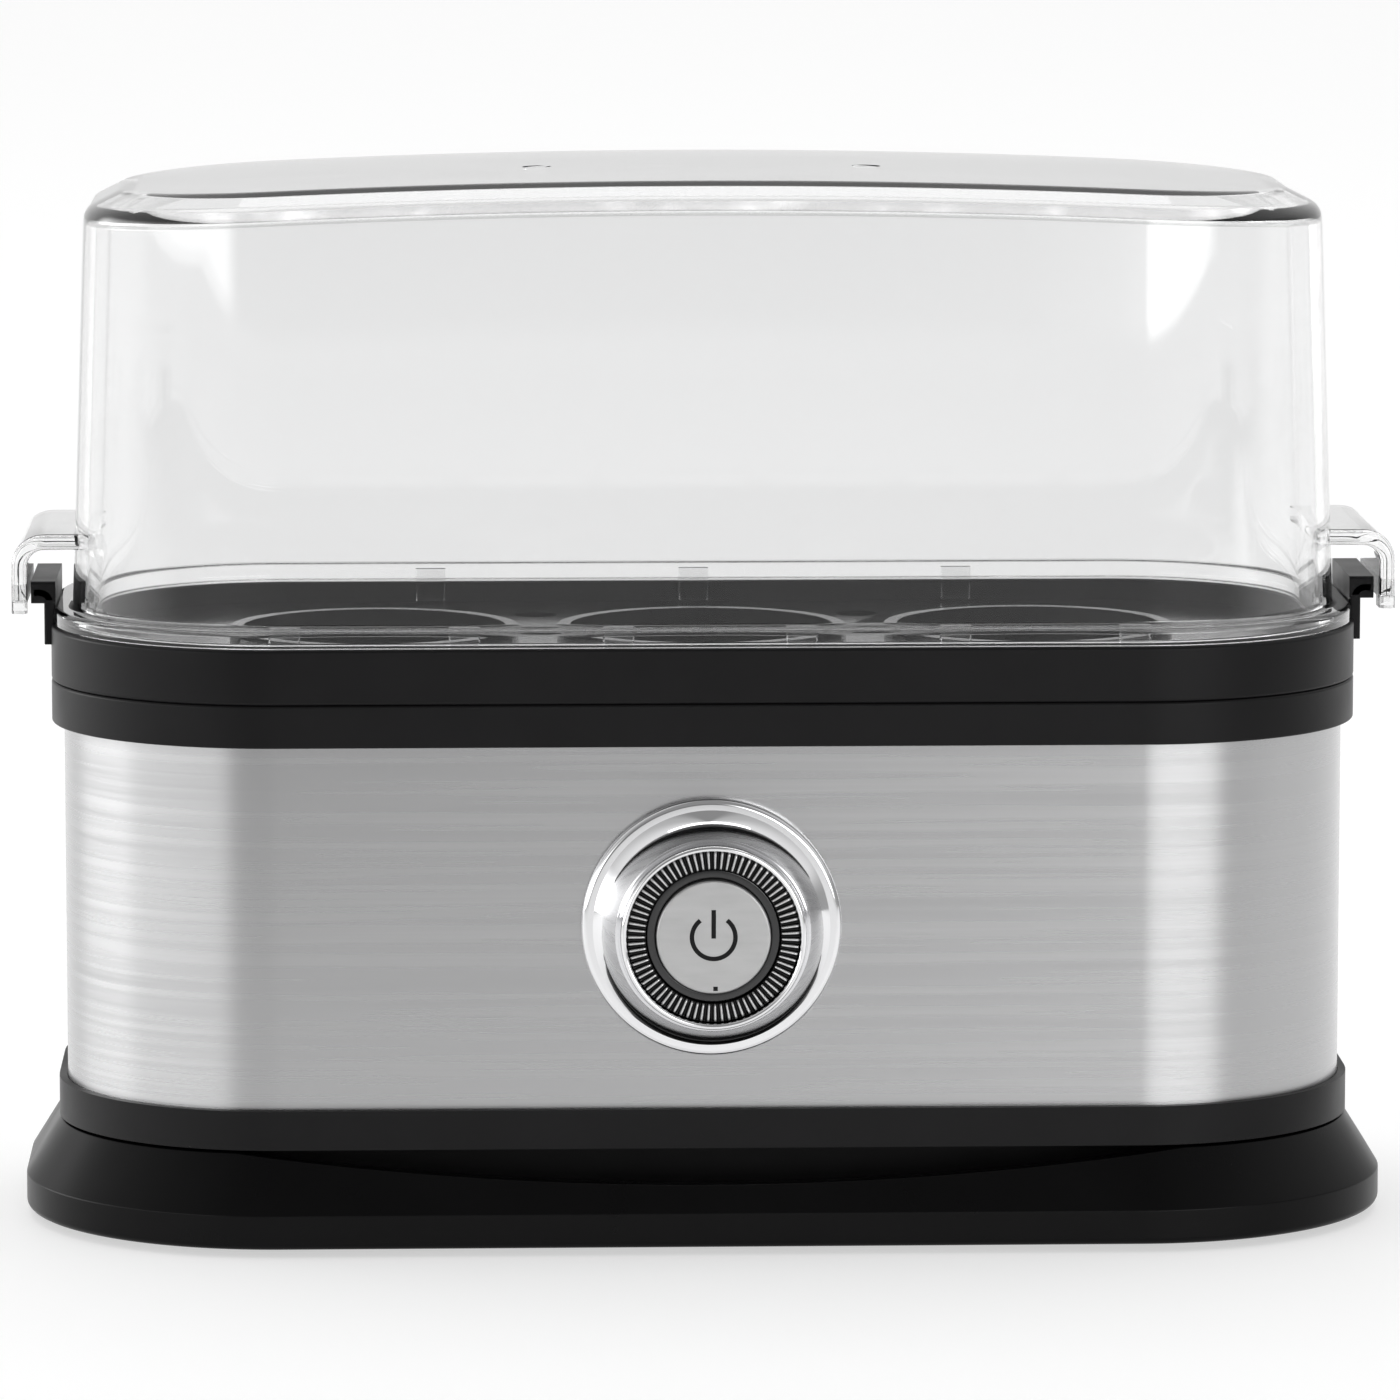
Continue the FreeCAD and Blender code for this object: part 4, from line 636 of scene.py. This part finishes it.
class COOKER_OT_bands(Operator):
    """The two black bands: the housing's collar and the rack's frame with its lugs"""
    bl_idname = "cooker.bands"
    bl_label = "Black bands"

    def execute(self, context):
        self.collar(context.scene.cooker_shells)
        self.rack_frame(context.scene.cooker_shells)
        return {"FINISHED"}

    def collar(self, s):
        """Collar section: outer wall, rib, ledge for the pan, tongue inside the steel and slot for it."""
        out, inside = s.band_inset, s.inner_inset
        slot_out = HALF_WIDTH - SLEEVE_HIGH.x - FIT
        slot_in = slot_out + s.sheet + 2 * FIT
        shoulder = 1.8 * MM
        rib_out, rib_in = out + shoulder, inside - shoulder
        ledge = SEAM_Z - 4 * MM
        ledge_under, ledge_in = ledge - 1.8 * MM, inside + 3.8 * MM
        under = SLEEVE_HIGH.z - 2.6 * MM
        tongue = under - 3 * MM
        corners = [
            (out, under), (out, SEAM_Z), (rib_out, SEAM_Z), (rib_out, COLLAR_TOP), (rib_in, COLLAR_TOP),
            (rib_in, SEAM_Z), (inside, SEAM_Z), (inside, ledge), (ledge_in, ledge),
            (ledge_in, ledge_under), (inside, ledge_under), (inside, tongue),
            (slot_in, tongue), (slot_in, SLEEVE_HIGH.z), (slot_out, SLEEVE_HIGH.z), (slot_out, under)]
        radii = np.full(len(corners), 0.15)
        radii[:2] = 0.25, 0.45
        profile = rounded(corners, radii * MM, steps=5)
        piece = make_piece("collar", [ring_grid(profile, s.corner_radius)], wrap_rows=True)
        finish_piece(piece, finishes()["black_band"], "housing", "black_band", "housing_collar")

    def rack_frame(self, s):
        """Frame section: outer wall over a groove for the collar's rib, and a shelf for the plate."""
        out, inside = s.band_inset, s.inner_inset
        groove_top = SEAM_Z + 3.7 * MM
        groove_out, groove_in = out + 1.5 * MM, inside - 1.5 * MM
        shelf_under, shelf_in = PLATE_BASE - 1.6 * MM, inside + 2 * MM
        corners = [
            (out, SEAM_Z), (out, RIM_Z), (inside, RIM_Z), (inside, PLATE_BASE), (shelf_in, PLATE_BASE),
            (shelf_in, shelf_under), (inside, shelf_under), (inside, SEAM_Z), (groove_in, SEAM_Z),
            (groove_in, groove_top), (groove_out, groove_top), (groove_out, SEAM_Z)]
        radii = np.full(len(corners), 0.15)
        radii[:3] = 0.4, 0.55, 0.3
        profile = rounded(corners, radii * MM, steps=5)
        piece = make_piece("rack_band", [ring_grid(profile, s.corner_radius)], wrap_rows=True)
        combine(piece, self.lugs(s, groove_top + 1 * MM), "UNION")
        finish_piece(piece, finishes()["black_band"], "rack", "black_band", "rack_frame")

    def lugs(self, s, foot):
        """A lug for each end: a stem from its foot up and then out, and a thicker head along its top."""
        sheet, wide, head_height = 1.6 * MM, 22 * MM, 3.1 * MM
        stem = HALF_WIDTH - s.lid_flange - 0.3 * MM + sheet / 2
        top = FRAME_HIGH.z - head_height / 2
        grids = []
        for way in (-1, 1):
            bend = [(way * stem, foot), (way * stem, top), (way * (FRAME_HIGH.x - 0.4 * MM), top)]
            path = rounded(bend, 1.4 * MM, closed=False)
            grids.append(plane_sweep(path, bar_section(sheet, wide, 0.35 * MM)))
            head = np.linspace((way * (stem - sheet / 2), top), (way * FRAME_HIGH.x, top), 4)
            grids.append(plane_sweep(head, bar_section(head_height, wide, 0.5 * MM)))
        return make_piece("lugs", grids)


class COOKER_OT_tray(Operator):
    """Egg plate and heating pan"""
    bl_idname = "cooker.tray"
    bl_label = "Plate and pan"

    def execute(self, context):
        refined_copy("egg_plate", "rack_plate", finishes()["black_gloss"], "rack", "black_gloss")
        refined_copy("pan", "heating_pan", finishes()["pan_steel"], "housing", "pan_steel")
        return {"FINISHED"}


class COOKER_OT_lid(Operator):
    """Clear lid: dome, flange, tabs and lifting loops in one moulding"""
    bl_idname = "cooker.lid"
    bl_label = "Clear lid"

    def execute(self, context):
        s = context.scene.cooker_shells
        piece = make_piece("clear_dome", [self.dome(s)])
        combine(piece, make_piece("lid_fittings", self.tabs(s) + self.loops(s)), "UNION")
        combine(piece, self.openings(s), "DIFFERENCE")
        finish_piece(piece, finishes()["clear_lid"], "lid", "clear_lid", "lid", "lid_loops")
        return {"FINISHED"}

    def dome(self, s):
        """Outer roof from its middle out, down the outer wall, round the flange, up the inner wall and in.

        A wall point is (inset, height); a roof point is the roof's edge shrunk towards the middle.
        Points above half height fall with the crown.
        """
        top = LID_HIGH.z
        wall = s.lid_wall
        edge = s.lid_top + s.lid_bevel
        flange_top = RIM_Z + 2.4 * MM
        deep = 30 * MM
        corners = [
            (deep, top), (edge, top), (s.lid_top, top - s.lid_bevel_drop), (s.lid_foot, flange_top),
            (s.lid_flange, flange_top), (s.lid_flange, RIM_Z), (s.lid_foot + wall, RIM_Z),
            (s.lid_top + wall, top - wall - s.lid_bevel_drop), (edge + wall, top - wall),
            (deep, top - wall)]
        radii = np.array([0, 2.6, 2.6, 0.7, 0.8, 0.25, 0.4, 1.0, 1.0, 0]) * MM
        profile = rounded(corners, radii, closed=False, steps=7)[1:-1]
        shrink = np.sin(np.linspace(0, math.pi / 2, 16, endpoint=False))
        outer_roof = np.repeat(profile[:1], len(shrink), 0)
        inner_roof = np.repeat(profile[-1:], len(shrink), 0)
        rows = np.vstack([outer_roof, profile, inner_roof])
        scale = np.concatenate([shrink, np.ones(len(profile)), shrink[::-1]])
        grid = ring_grid(rows, s.corner_radius, scale)
        upper = rows[:, 1] > (top + RIM_Z) / 2
        grid[upper, :, 2] -= crown_sag(grid[upper, :, 0], s)
        return grid

    def tabs(self, s):
        """Locating tabs that hang inside the rack's frame: three behind and six in front."""
        thick = 1.2 * MM
        out = HALF_DEPTH - s.inner_inset - 0.3 * MM
        behind, front = (-38, 0, 38), (-12.5, 12.5, -33.5, 33.5, -58, 58)
        places = [(x * MM, 1) for x in behind] + [(x * MM, -1) for x in front]
        grids = []
        for x, way in places:
            path = np.linspace((x, LID_LOW.z), (x, RIM_Z + 2.0 * MM), 6)
            middle_y = MIDDLE_Y + way * (out - thick / 2)
            grids.append(plane_sweep(path, bar_section(4.3 * MM, thick, 0.3 * MM), middle_y))
        return grids

    def loops(self, s):
        """A lifting loop for each end: straight out from the wall, round a bend and down."""
        half, wide = 1.1 * MM, 32 * MM
        tip, top = LOOPS_HIGH.x - half, LOOPS_HIGH.z - half
        root = HALF_WIDTH - s.lid_foot - s.lid_wall * 0.6
        grids = []
        for way in (-1, 1):
            bend = [(way * root, top), (way * tip, top), (way * tip, RIM_Z + 2 * MM)]
            path = rounded(bend, 3.4 * MM, closed=False, steps=12)
            grids.append(plane_sweep(path, bar_section(2 * half, wide, 0.9 * MM)))
        return grids

    def openings(self, s):
        """Two steam holes in the roof, and a notch in the flange for each lug."""
        low, high = LID_HIGH.z - 12 * MM, LID_HIGH.z + 3 * MM
        hole, apart = 2 * MM, 23 * MM
        drill = [(0, low), (hole, low), (hole, high), (0, high)]
        grids = [upright_grid(drill, x, MIDDLE_Y, 40) for x in (-apart, apart)]
        stem = HALF_WIDTH - s.lid_flange - 0.6 * MM
        notch_z = RIM_Z + 1.2 * MM
        for way in (-1, 1):
            path = np.linspace((way * stem, notch_z), (way * (stem + 6 * MM), notch_z), 4)
            grids.append(plane_sweep(path, bar_section(4.4 * MM, 23 * MM, 0.5 * MM)))
        return make_piece("lid_openings", grids)


class COOKER_OT_bezel(Operator):
    """Chrome bezel: a trumpet that flares from its lip down to the steel"""
    bl_idname = "cooker.bezel"
    bl_label = "Bezel"

    def execute(self, context):
        c = context.scene.cooker_control
        stand = FACE_Y - BEZEL_LOW.y
        wide = BEZEL_HIGH.x
        foot = (wide - 1.6 * MM, c.rim_sheet)
        shoulder = (c.bezel_lip, stand - 0.5 * MM)
        # The flare is an arc from the foot to the shoulder, hollow towards the outside.
        chord = np.subtract(shoulder, foot)
        arc = 9.2 * MM
        rise = math.sqrt(arc ** 2 - chord @ chord / 4)
        normal = np.array([-chord[1], chord[0]]) / np.linalg.norm(chord)
        middle = np.add(foot, shoulder) / 2 - normal * rise
        angles = [math.atan2(*np.subtract(end, middle)[::-1]) % (2 * math.pi) for end in (foot, shoulder)]
        sweep = np.linspace(angles[0], angles[1], 40)
        flare = middle + arc * np.column_stack([np.cos(sweep), np.sin(sweep)])
        edge, edge_round = np.linspace(0, math.pi / 2, 10), 0.9 * MM
        rim = np.column_stack([wide - edge_round + edge_round * np.cos(edge),
                               c.rim_sheet - edge_round + edge_round * np.sin(edge)])
        over, lip_rise = np.linspace(0, math.pi, 14), 0.4 * MM
        lip_half = (c.bezel_lip - c.bezel_bore) / 2
        lip = np.column_stack([c.bezel_bore + lip_half + lip_half * np.cos(over),
                               stand - lip_rise + lip_rise * np.sin(over)])
        shank, back = c.bezel_bore + 1.1 * MM, FACE_Y - BEZEL_HIGH.y
        root = [(shank, back), (shank, 0.0), (wide, 0.0)]
        profile = np.vstack([root, rim, flare, lip, [(c.bezel_bore, back)]])
        piece = make_piece("bezel", [turned_grid(profile, 160)], wrap_rows=True)
        finish_piece(piece, finishes()["chrome"], "housing", "chrome", "control_bezel")
        return {"FINISHED"}


class COOKER_OT_rings(Operator):
    """Knurled ring and smoked light ring inside the bezel"""
    bl_idname = "cooker.rings"
    bl_label = "Control rings"

    def execute(self, context):
        c = context.scene.cooker_control
        back, front = FACE_Y - RING_HIGH.y, FACE_Y - RING_LOW.y
        outer, inner = RING_HIGH.x, LENS_HIGH.x + FIT
        bevel = 0.4 * MM
        profile = rounded([(outer, back), (outer, front), (inner, front), (inner, back)],
                          [FIT, bevel, bevel, FIT], steps=7)
        face = np.column_stack([np.linspace(outer - bevel, inner + bevel, 10), np.full(10, front)])
        split = int(np.argmax(profile[:, 1] >= front - 1e-9)) + 1
        profile = np.vstack([profile[:split], face[1:-1], profile[split:]])
        grid = turned_grid(profile, c.tooth_count * 10)
        angle = np.linspace(0, 2 * math.pi, grid.shape[1], endpoint=False)
        # A groove is a cosine squared off by tanh, and it fades out behind the ring's front.
        groove = 0.5 + 0.5 * np.tanh(2.2 * np.cos(c.tooth_count * angle))
        near_front = np.clip((profile[:, 1] - front + 0.5 * MM) / (0.45 * MM), 0, 1)
        grid[..., 1] += c.tooth_depth * near_front[:, None] * groove[None]
        piece = make_piece("knurled_band", [grid], wrap_rows=True)
        finish_piece(piece, finishes()["knurled_chrome"], "housing", "knurled_chrome", "knurled_ring")
        lens_back, lens_front = FACE_Y - LENS_HIGH.y, FACE_Y - LENS_LOW.y
        lens_in = BUTTON_HIGH.x + 0.08 * MM
        profile = rounded([(LENS_HIGH.x, lens_back), (LENS_HIGH.x, lens_front), (lens_in, lens_front),
                           (lens_in, lens_back)], 0.2 * MM, steps=6)
        piece = make_piece("light_band", [turned_grid(profile)], wrap_rows=True)
        finish_piece(piece, finishes()["smoked_lens"], "housing", "smoked_lens", "light_ring")
        return {"FINISHED"}


class COOKER_OT_button(Operator):
    """Push button: a satin disc on its stem, with a power symbol"""
    bl_idname = "cooker.button"
    bl_label = "Push button"

    def execute(self, context):
        c = context.scene.cooker_control
        wide = BUTTON_HIGH.x
        front, back = FACE_Y - BUTTON_LOW.y, FACE_Y - BUTTON_HIGH.y
        stem, sheet = 2.5 * MM, 2 * MM
        corners = [(0, back), (stem, back), (stem, front - sheet), (wide, front - sheet), (wide, front),
                   (0, front)]
        radii = np.array([0, 0.3, 0.3, 0.2, 0.35, 0]) * MM
        profile = rounded(corners, radii, closed=False, steps=7)
        piece = make_piece("push_button", [turned_grid(profile)])
        finish_piece(piece, finishes()["button_satin"], "button", "button_satin", "power_button")
        icon = self.icon(c)
        finish_piece(icon, finishes()["black_plastic"], "button", "black_plastic")
        return {"FINISHED"}

    def icon(self, c):
        """A ring with a gap at its top, a bar through the gap, and a dot low on the disc."""
        gap = math.radians(38)
        turn = np.linspace(math.pi / 2 + gap, math.pi * 5 / 2 - gap, 60)
        ring = c.icon_radius * np.column_stack([np.cos(turn), np.sin(turn)])
        bar = np.linspace((0, -0.15 * MM), (0, 3.75 * MM), 8)
        section = bar_section(c.icon_stroke, 0.1 * MM, 0.04 * MM)
        dot = np.linspace((0.25 * MM, -7.35 * MM), (0.25 * MM, -6.75 * MM), 4)
        grids = []
        for path in (ring, bar, dot):
            grid = swept_grid(path, section)
            grids.append(np.dstack([grid[..., 0], BUTTON_LOW.y - grid[..., 2], CONTROL_Z + grid[..., 1]]))
        return make_piece("power_symbol", grids)


class COOKER_OT_works(Operator):
    """Return spring, and finishes for every other inner part"""
    bl_idname = "cooker.works"
    bl_label = "Inner works"

    def execute(self, context):
        steel = finishes()["spring_steel"]
        spring = refined_copy("return_spring", "button_spring", steel, "housing", "spring_steel")
        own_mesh(spring)
        slots = {part["node"]: part["material_slot"] for part in frame["record"]["subparts"]}
        for node, item in frame["nodes"].items():
            if not item.hide_render:
                item.data.materials.clear()
                item.data.materials.append(finishes()[slots[node]])
        return {"FINISHED"}


class COOKER_OT_stage(Operator):
    """Pale floor, soft studio light and the camera"""
    bl_idname = "cooker.stage"
    bl_label = "Stage"

    def execute(self, context):
        self.floor()
        self.world()
        self.overhead()
        self.camera()
        context.scene.view_settings.view_transform = "Standard"
        return {"FINISHED"}

    def floor(self):
        """A pale floor whose glow rises from far in front to just before the cooker, then stays even."""
        mesh = bpy.data.meshes.new("floor")
        half = 6.0
        corners = [(-half, -half, 0), (half, -half, 0), (half, half, 0), (-half, half, 0)]
        mesh.from_pydata(corners, [], [(0, 1, 2, 3)])
        item = bpy.data.objects.new("floor", mesh)
        bpy.context.scene.collection.objects.link(item)
        made = Finish("pale_floor", (0.45, 0.45, 0.45), 0.7, Emission_Color=(1.0, 1.0, 1.0, 1.0))
        parts = made.node("ShaderNodeSeparateXYZ")
        made.join(made.place.outputs["Object"], parts.inputs["Vector"])
        glow = made.spread(parts.outputs["Y"], 0.05, 0.56, -0.8, -0.14)
        made.join(glow, made.shader.inputs["Emission Strength"])
        mesh.materials.append(made.material)

    def world(self):
        """A room of soft light: pale behind, bright panels left and front right, dark in front and right.

        The bearing picks the tone: 0 behind, 0.25 left, 0.5 in front, 0.75 right and 1 behind again.
        Higher up, a second and more even set of tones takes over.
        """
        world = bpy.data.worlds.new("studio")
        bpy.context.scene.world = world
        world.use_nodes = True
        tree = world.node_tree
        place = tree.nodes.new("ShaderNodeTexCoord")
        parts = tree.nodes.new("ShaderNodeSeparateXYZ")
        tree.links.new(place.outputs["Generated"], parts.inputs[0])
        flip = tree.nodes.new("ShaderNodeMath")
        flip.operation = "MULTIPLY"
        flip.inputs[1].default_value = -1.0
        tree.links.new(parts.outputs["Y"], flip.inputs[0])
        bearing = tree.nodes.new("ShaderNodeMath")
        bearing.operation = "ARCTAN2"
        tree.links.new(parts.outputs["X"], bearing.inputs[0])
        tree.links.new(flip.outputs[0], bearing.inputs[1])
        turn = tree.nodes.new("ShaderNodeMapRange")
        turn.inputs["From Min"].default_value = -math.pi
        turn.inputs["From Max"].default_value = math.pi
        tree.links.new(bearing.outputs[0], turn.inputs["Value"])
        level = self.tone(tree, turn.outputs["Result"], (
            (0.0, 0.75), (0.12, 0.8), (0.16, 5.1), (0.24, 5.1), (0.28, 2.8), (0.41, 2.7), (0.44, 0.2),
            (0.51, 0.2), (0.53, 4.7), (0.61, 4.3), (0.645, 0.4), (0.79, 0.35), (0.87, 0.6), (1.0, 0.75)))
        high = self.tone(tree, turn.outputs["Result"], (
            (0.0, 0.8), (0.25, 0.85), (0.36, 0.5), (0.44, 0.28), (0.56, 0.28), (0.64, 0.5), (0.75, 0.85),
            (1.0, 0.8)))
        rise = tree.nodes.new("ShaderNodeMapRange")
        rise.interpolation_type = "SMOOTHSTEP"
        rise.inputs["From Min"].default_value = 0.12
        rise.inputs["From Max"].default_value = 0.42
        tree.links.new(parts.outputs["Z"], rise.inputs["Value"])
        mixed = tree.nodes.new("ShaderNodeMix")
        mixed.data_type = "RGBA"
        tree.links.new(rise.outputs["Result"], mixed.inputs["Factor"])
        tree.links.new(level, mixed.inputs[6])
        tree.links.new(high, mixed.inputs[7])
        tree.links.new(mixed.outputs[2], tree.nodes["Background"].inputs["Color"])

    def tone(self, tree, source, stops):
        """A grey ramp through (place, tone) stops. Tones over 1 are allowed."""
        ramp = tree.nodes.new("ShaderNodeValToRGB")
        ramp.color_ramp.interpolation = "EASE"
        elements = ramp.color_ramp.elements
        while len(elements) > 1:
            elements.remove(elements[-1])
        elements[0].position = stops[0][0]
        elements[0].color = (*[stops[0][1]] * 3, 1.0)
        for place, tone in stops[1:]:
            elements.new(place).color = (*[tone] * 3, 1.0)
        tree.links.new(source, ramp.inputs["Fac"])
        return ramp.outputs["Color"]

    def overhead(self):
        """One large soft box above and a little behind."""
        light = bpy.data.lights.new("overhead", "AREA")
        light.shape = "RECTANGLE"
        light.size, light.size_y = 2.2, 1.2
        light.energy = 14.0
        item = bpy.data.objects.new("overhead", light)
        item.location = (0.0, 0.5, 2.2)
        item.rotation_euler = (Vector((0, 0, 0.07)) - item.location).to_track_quat("-Z", "Y").to_euler()
        bpy.context.scene.collection.objects.link(item)

    def camera(self):
        """A long lens in front, a little above the lid and a little to the left."""
        data = bpy.data.cameras.new("camera")
        data.sensor_width = 36.0
        data.lens = 212.0
        item = bpy.data.objects.new("camera", data)
        target = Vector((-0.0002, MIDDLE_Y, 0.0704))
        away, bearing = 1.15, math.radians(-1.95)
        item.location = target + Vector((math.sin(bearing) * away, -math.cos(bearing) * away, 0.157))
        item.rotation_euler = (target - item.location).to_track_quat("-Z", "Y").to_euler()
        data.clip_end = 60.0
        bpy.context.scene.collection.objects.link(item)
        bpy.context.scene.camera = item


class COOKER_PT_panel(Panel):
    """Lists the cooker's pieces and their sizes"""
    bl_idname = "COOKER_PT_panel"
    bl_label = "Egg cooker"
    bl_space_type = "VIEW_3D"
    bl_region_type = "UI"
    bl_category = "Egg cooker"

    def draw(self, context):
        scene = context.scene
        for kind in OPERATORS:
            self.layout.operator(kind.bl_idname)
        for group in (scene.cooker_shells, scene.cooker_control, scene.cooker_finish):
            box = self.layout.box()
            for name in group.bl_rna.properties.keys():
                if name not in ("rna_type", "name"):
                    box.prop(group, name)


OPERATORS = (
    COOKER_OT_stage, COOKER_OT_plinth, COOKER_OT_housing, COOKER_OT_sleeve, COOKER_OT_bands, COOKER_OT_tray,
    COOKER_OT_lid, COOKER_OT_bezel, COOKER_OT_rings, COOKER_OT_button, COOKER_OT_works)
GROUPS = {"cooker_shells": CookerShells, "cooker_control": CookerControl, "cooker_finish": CookerFinish}


def register():
    """Register the classes, and hang each group of settings on the scene."""
    for name, kind in GROUPS.items():
        bpy.utils.register_class(kind)
        setattr(bpy.types.Scene, name, PointerProperty(type=kind))
    for kind in (*OPERATORS, COOKER_PT_panel):
        bpy.utils.register_class(kind)


def unregister():
    """Undo what register does, in the opposite order."""
    for kind in (COOKER_PT_panel, *reversed(OPERATORS)):
        bpy.utils.unregister_class(kind)
    for name, kind in GROUPS.items():
        delattr(bpy.types.Scene, name)
        bpy.utils.unregister_class(kind)


def main():
    """Build everything in order."""
    register()
    for kind in OPERATORS:
        module, name = kind.bl_idname.split(".")
        getattr(getattr(bpy.ops, module), name)()


if __name__ == "__main__":
    main()
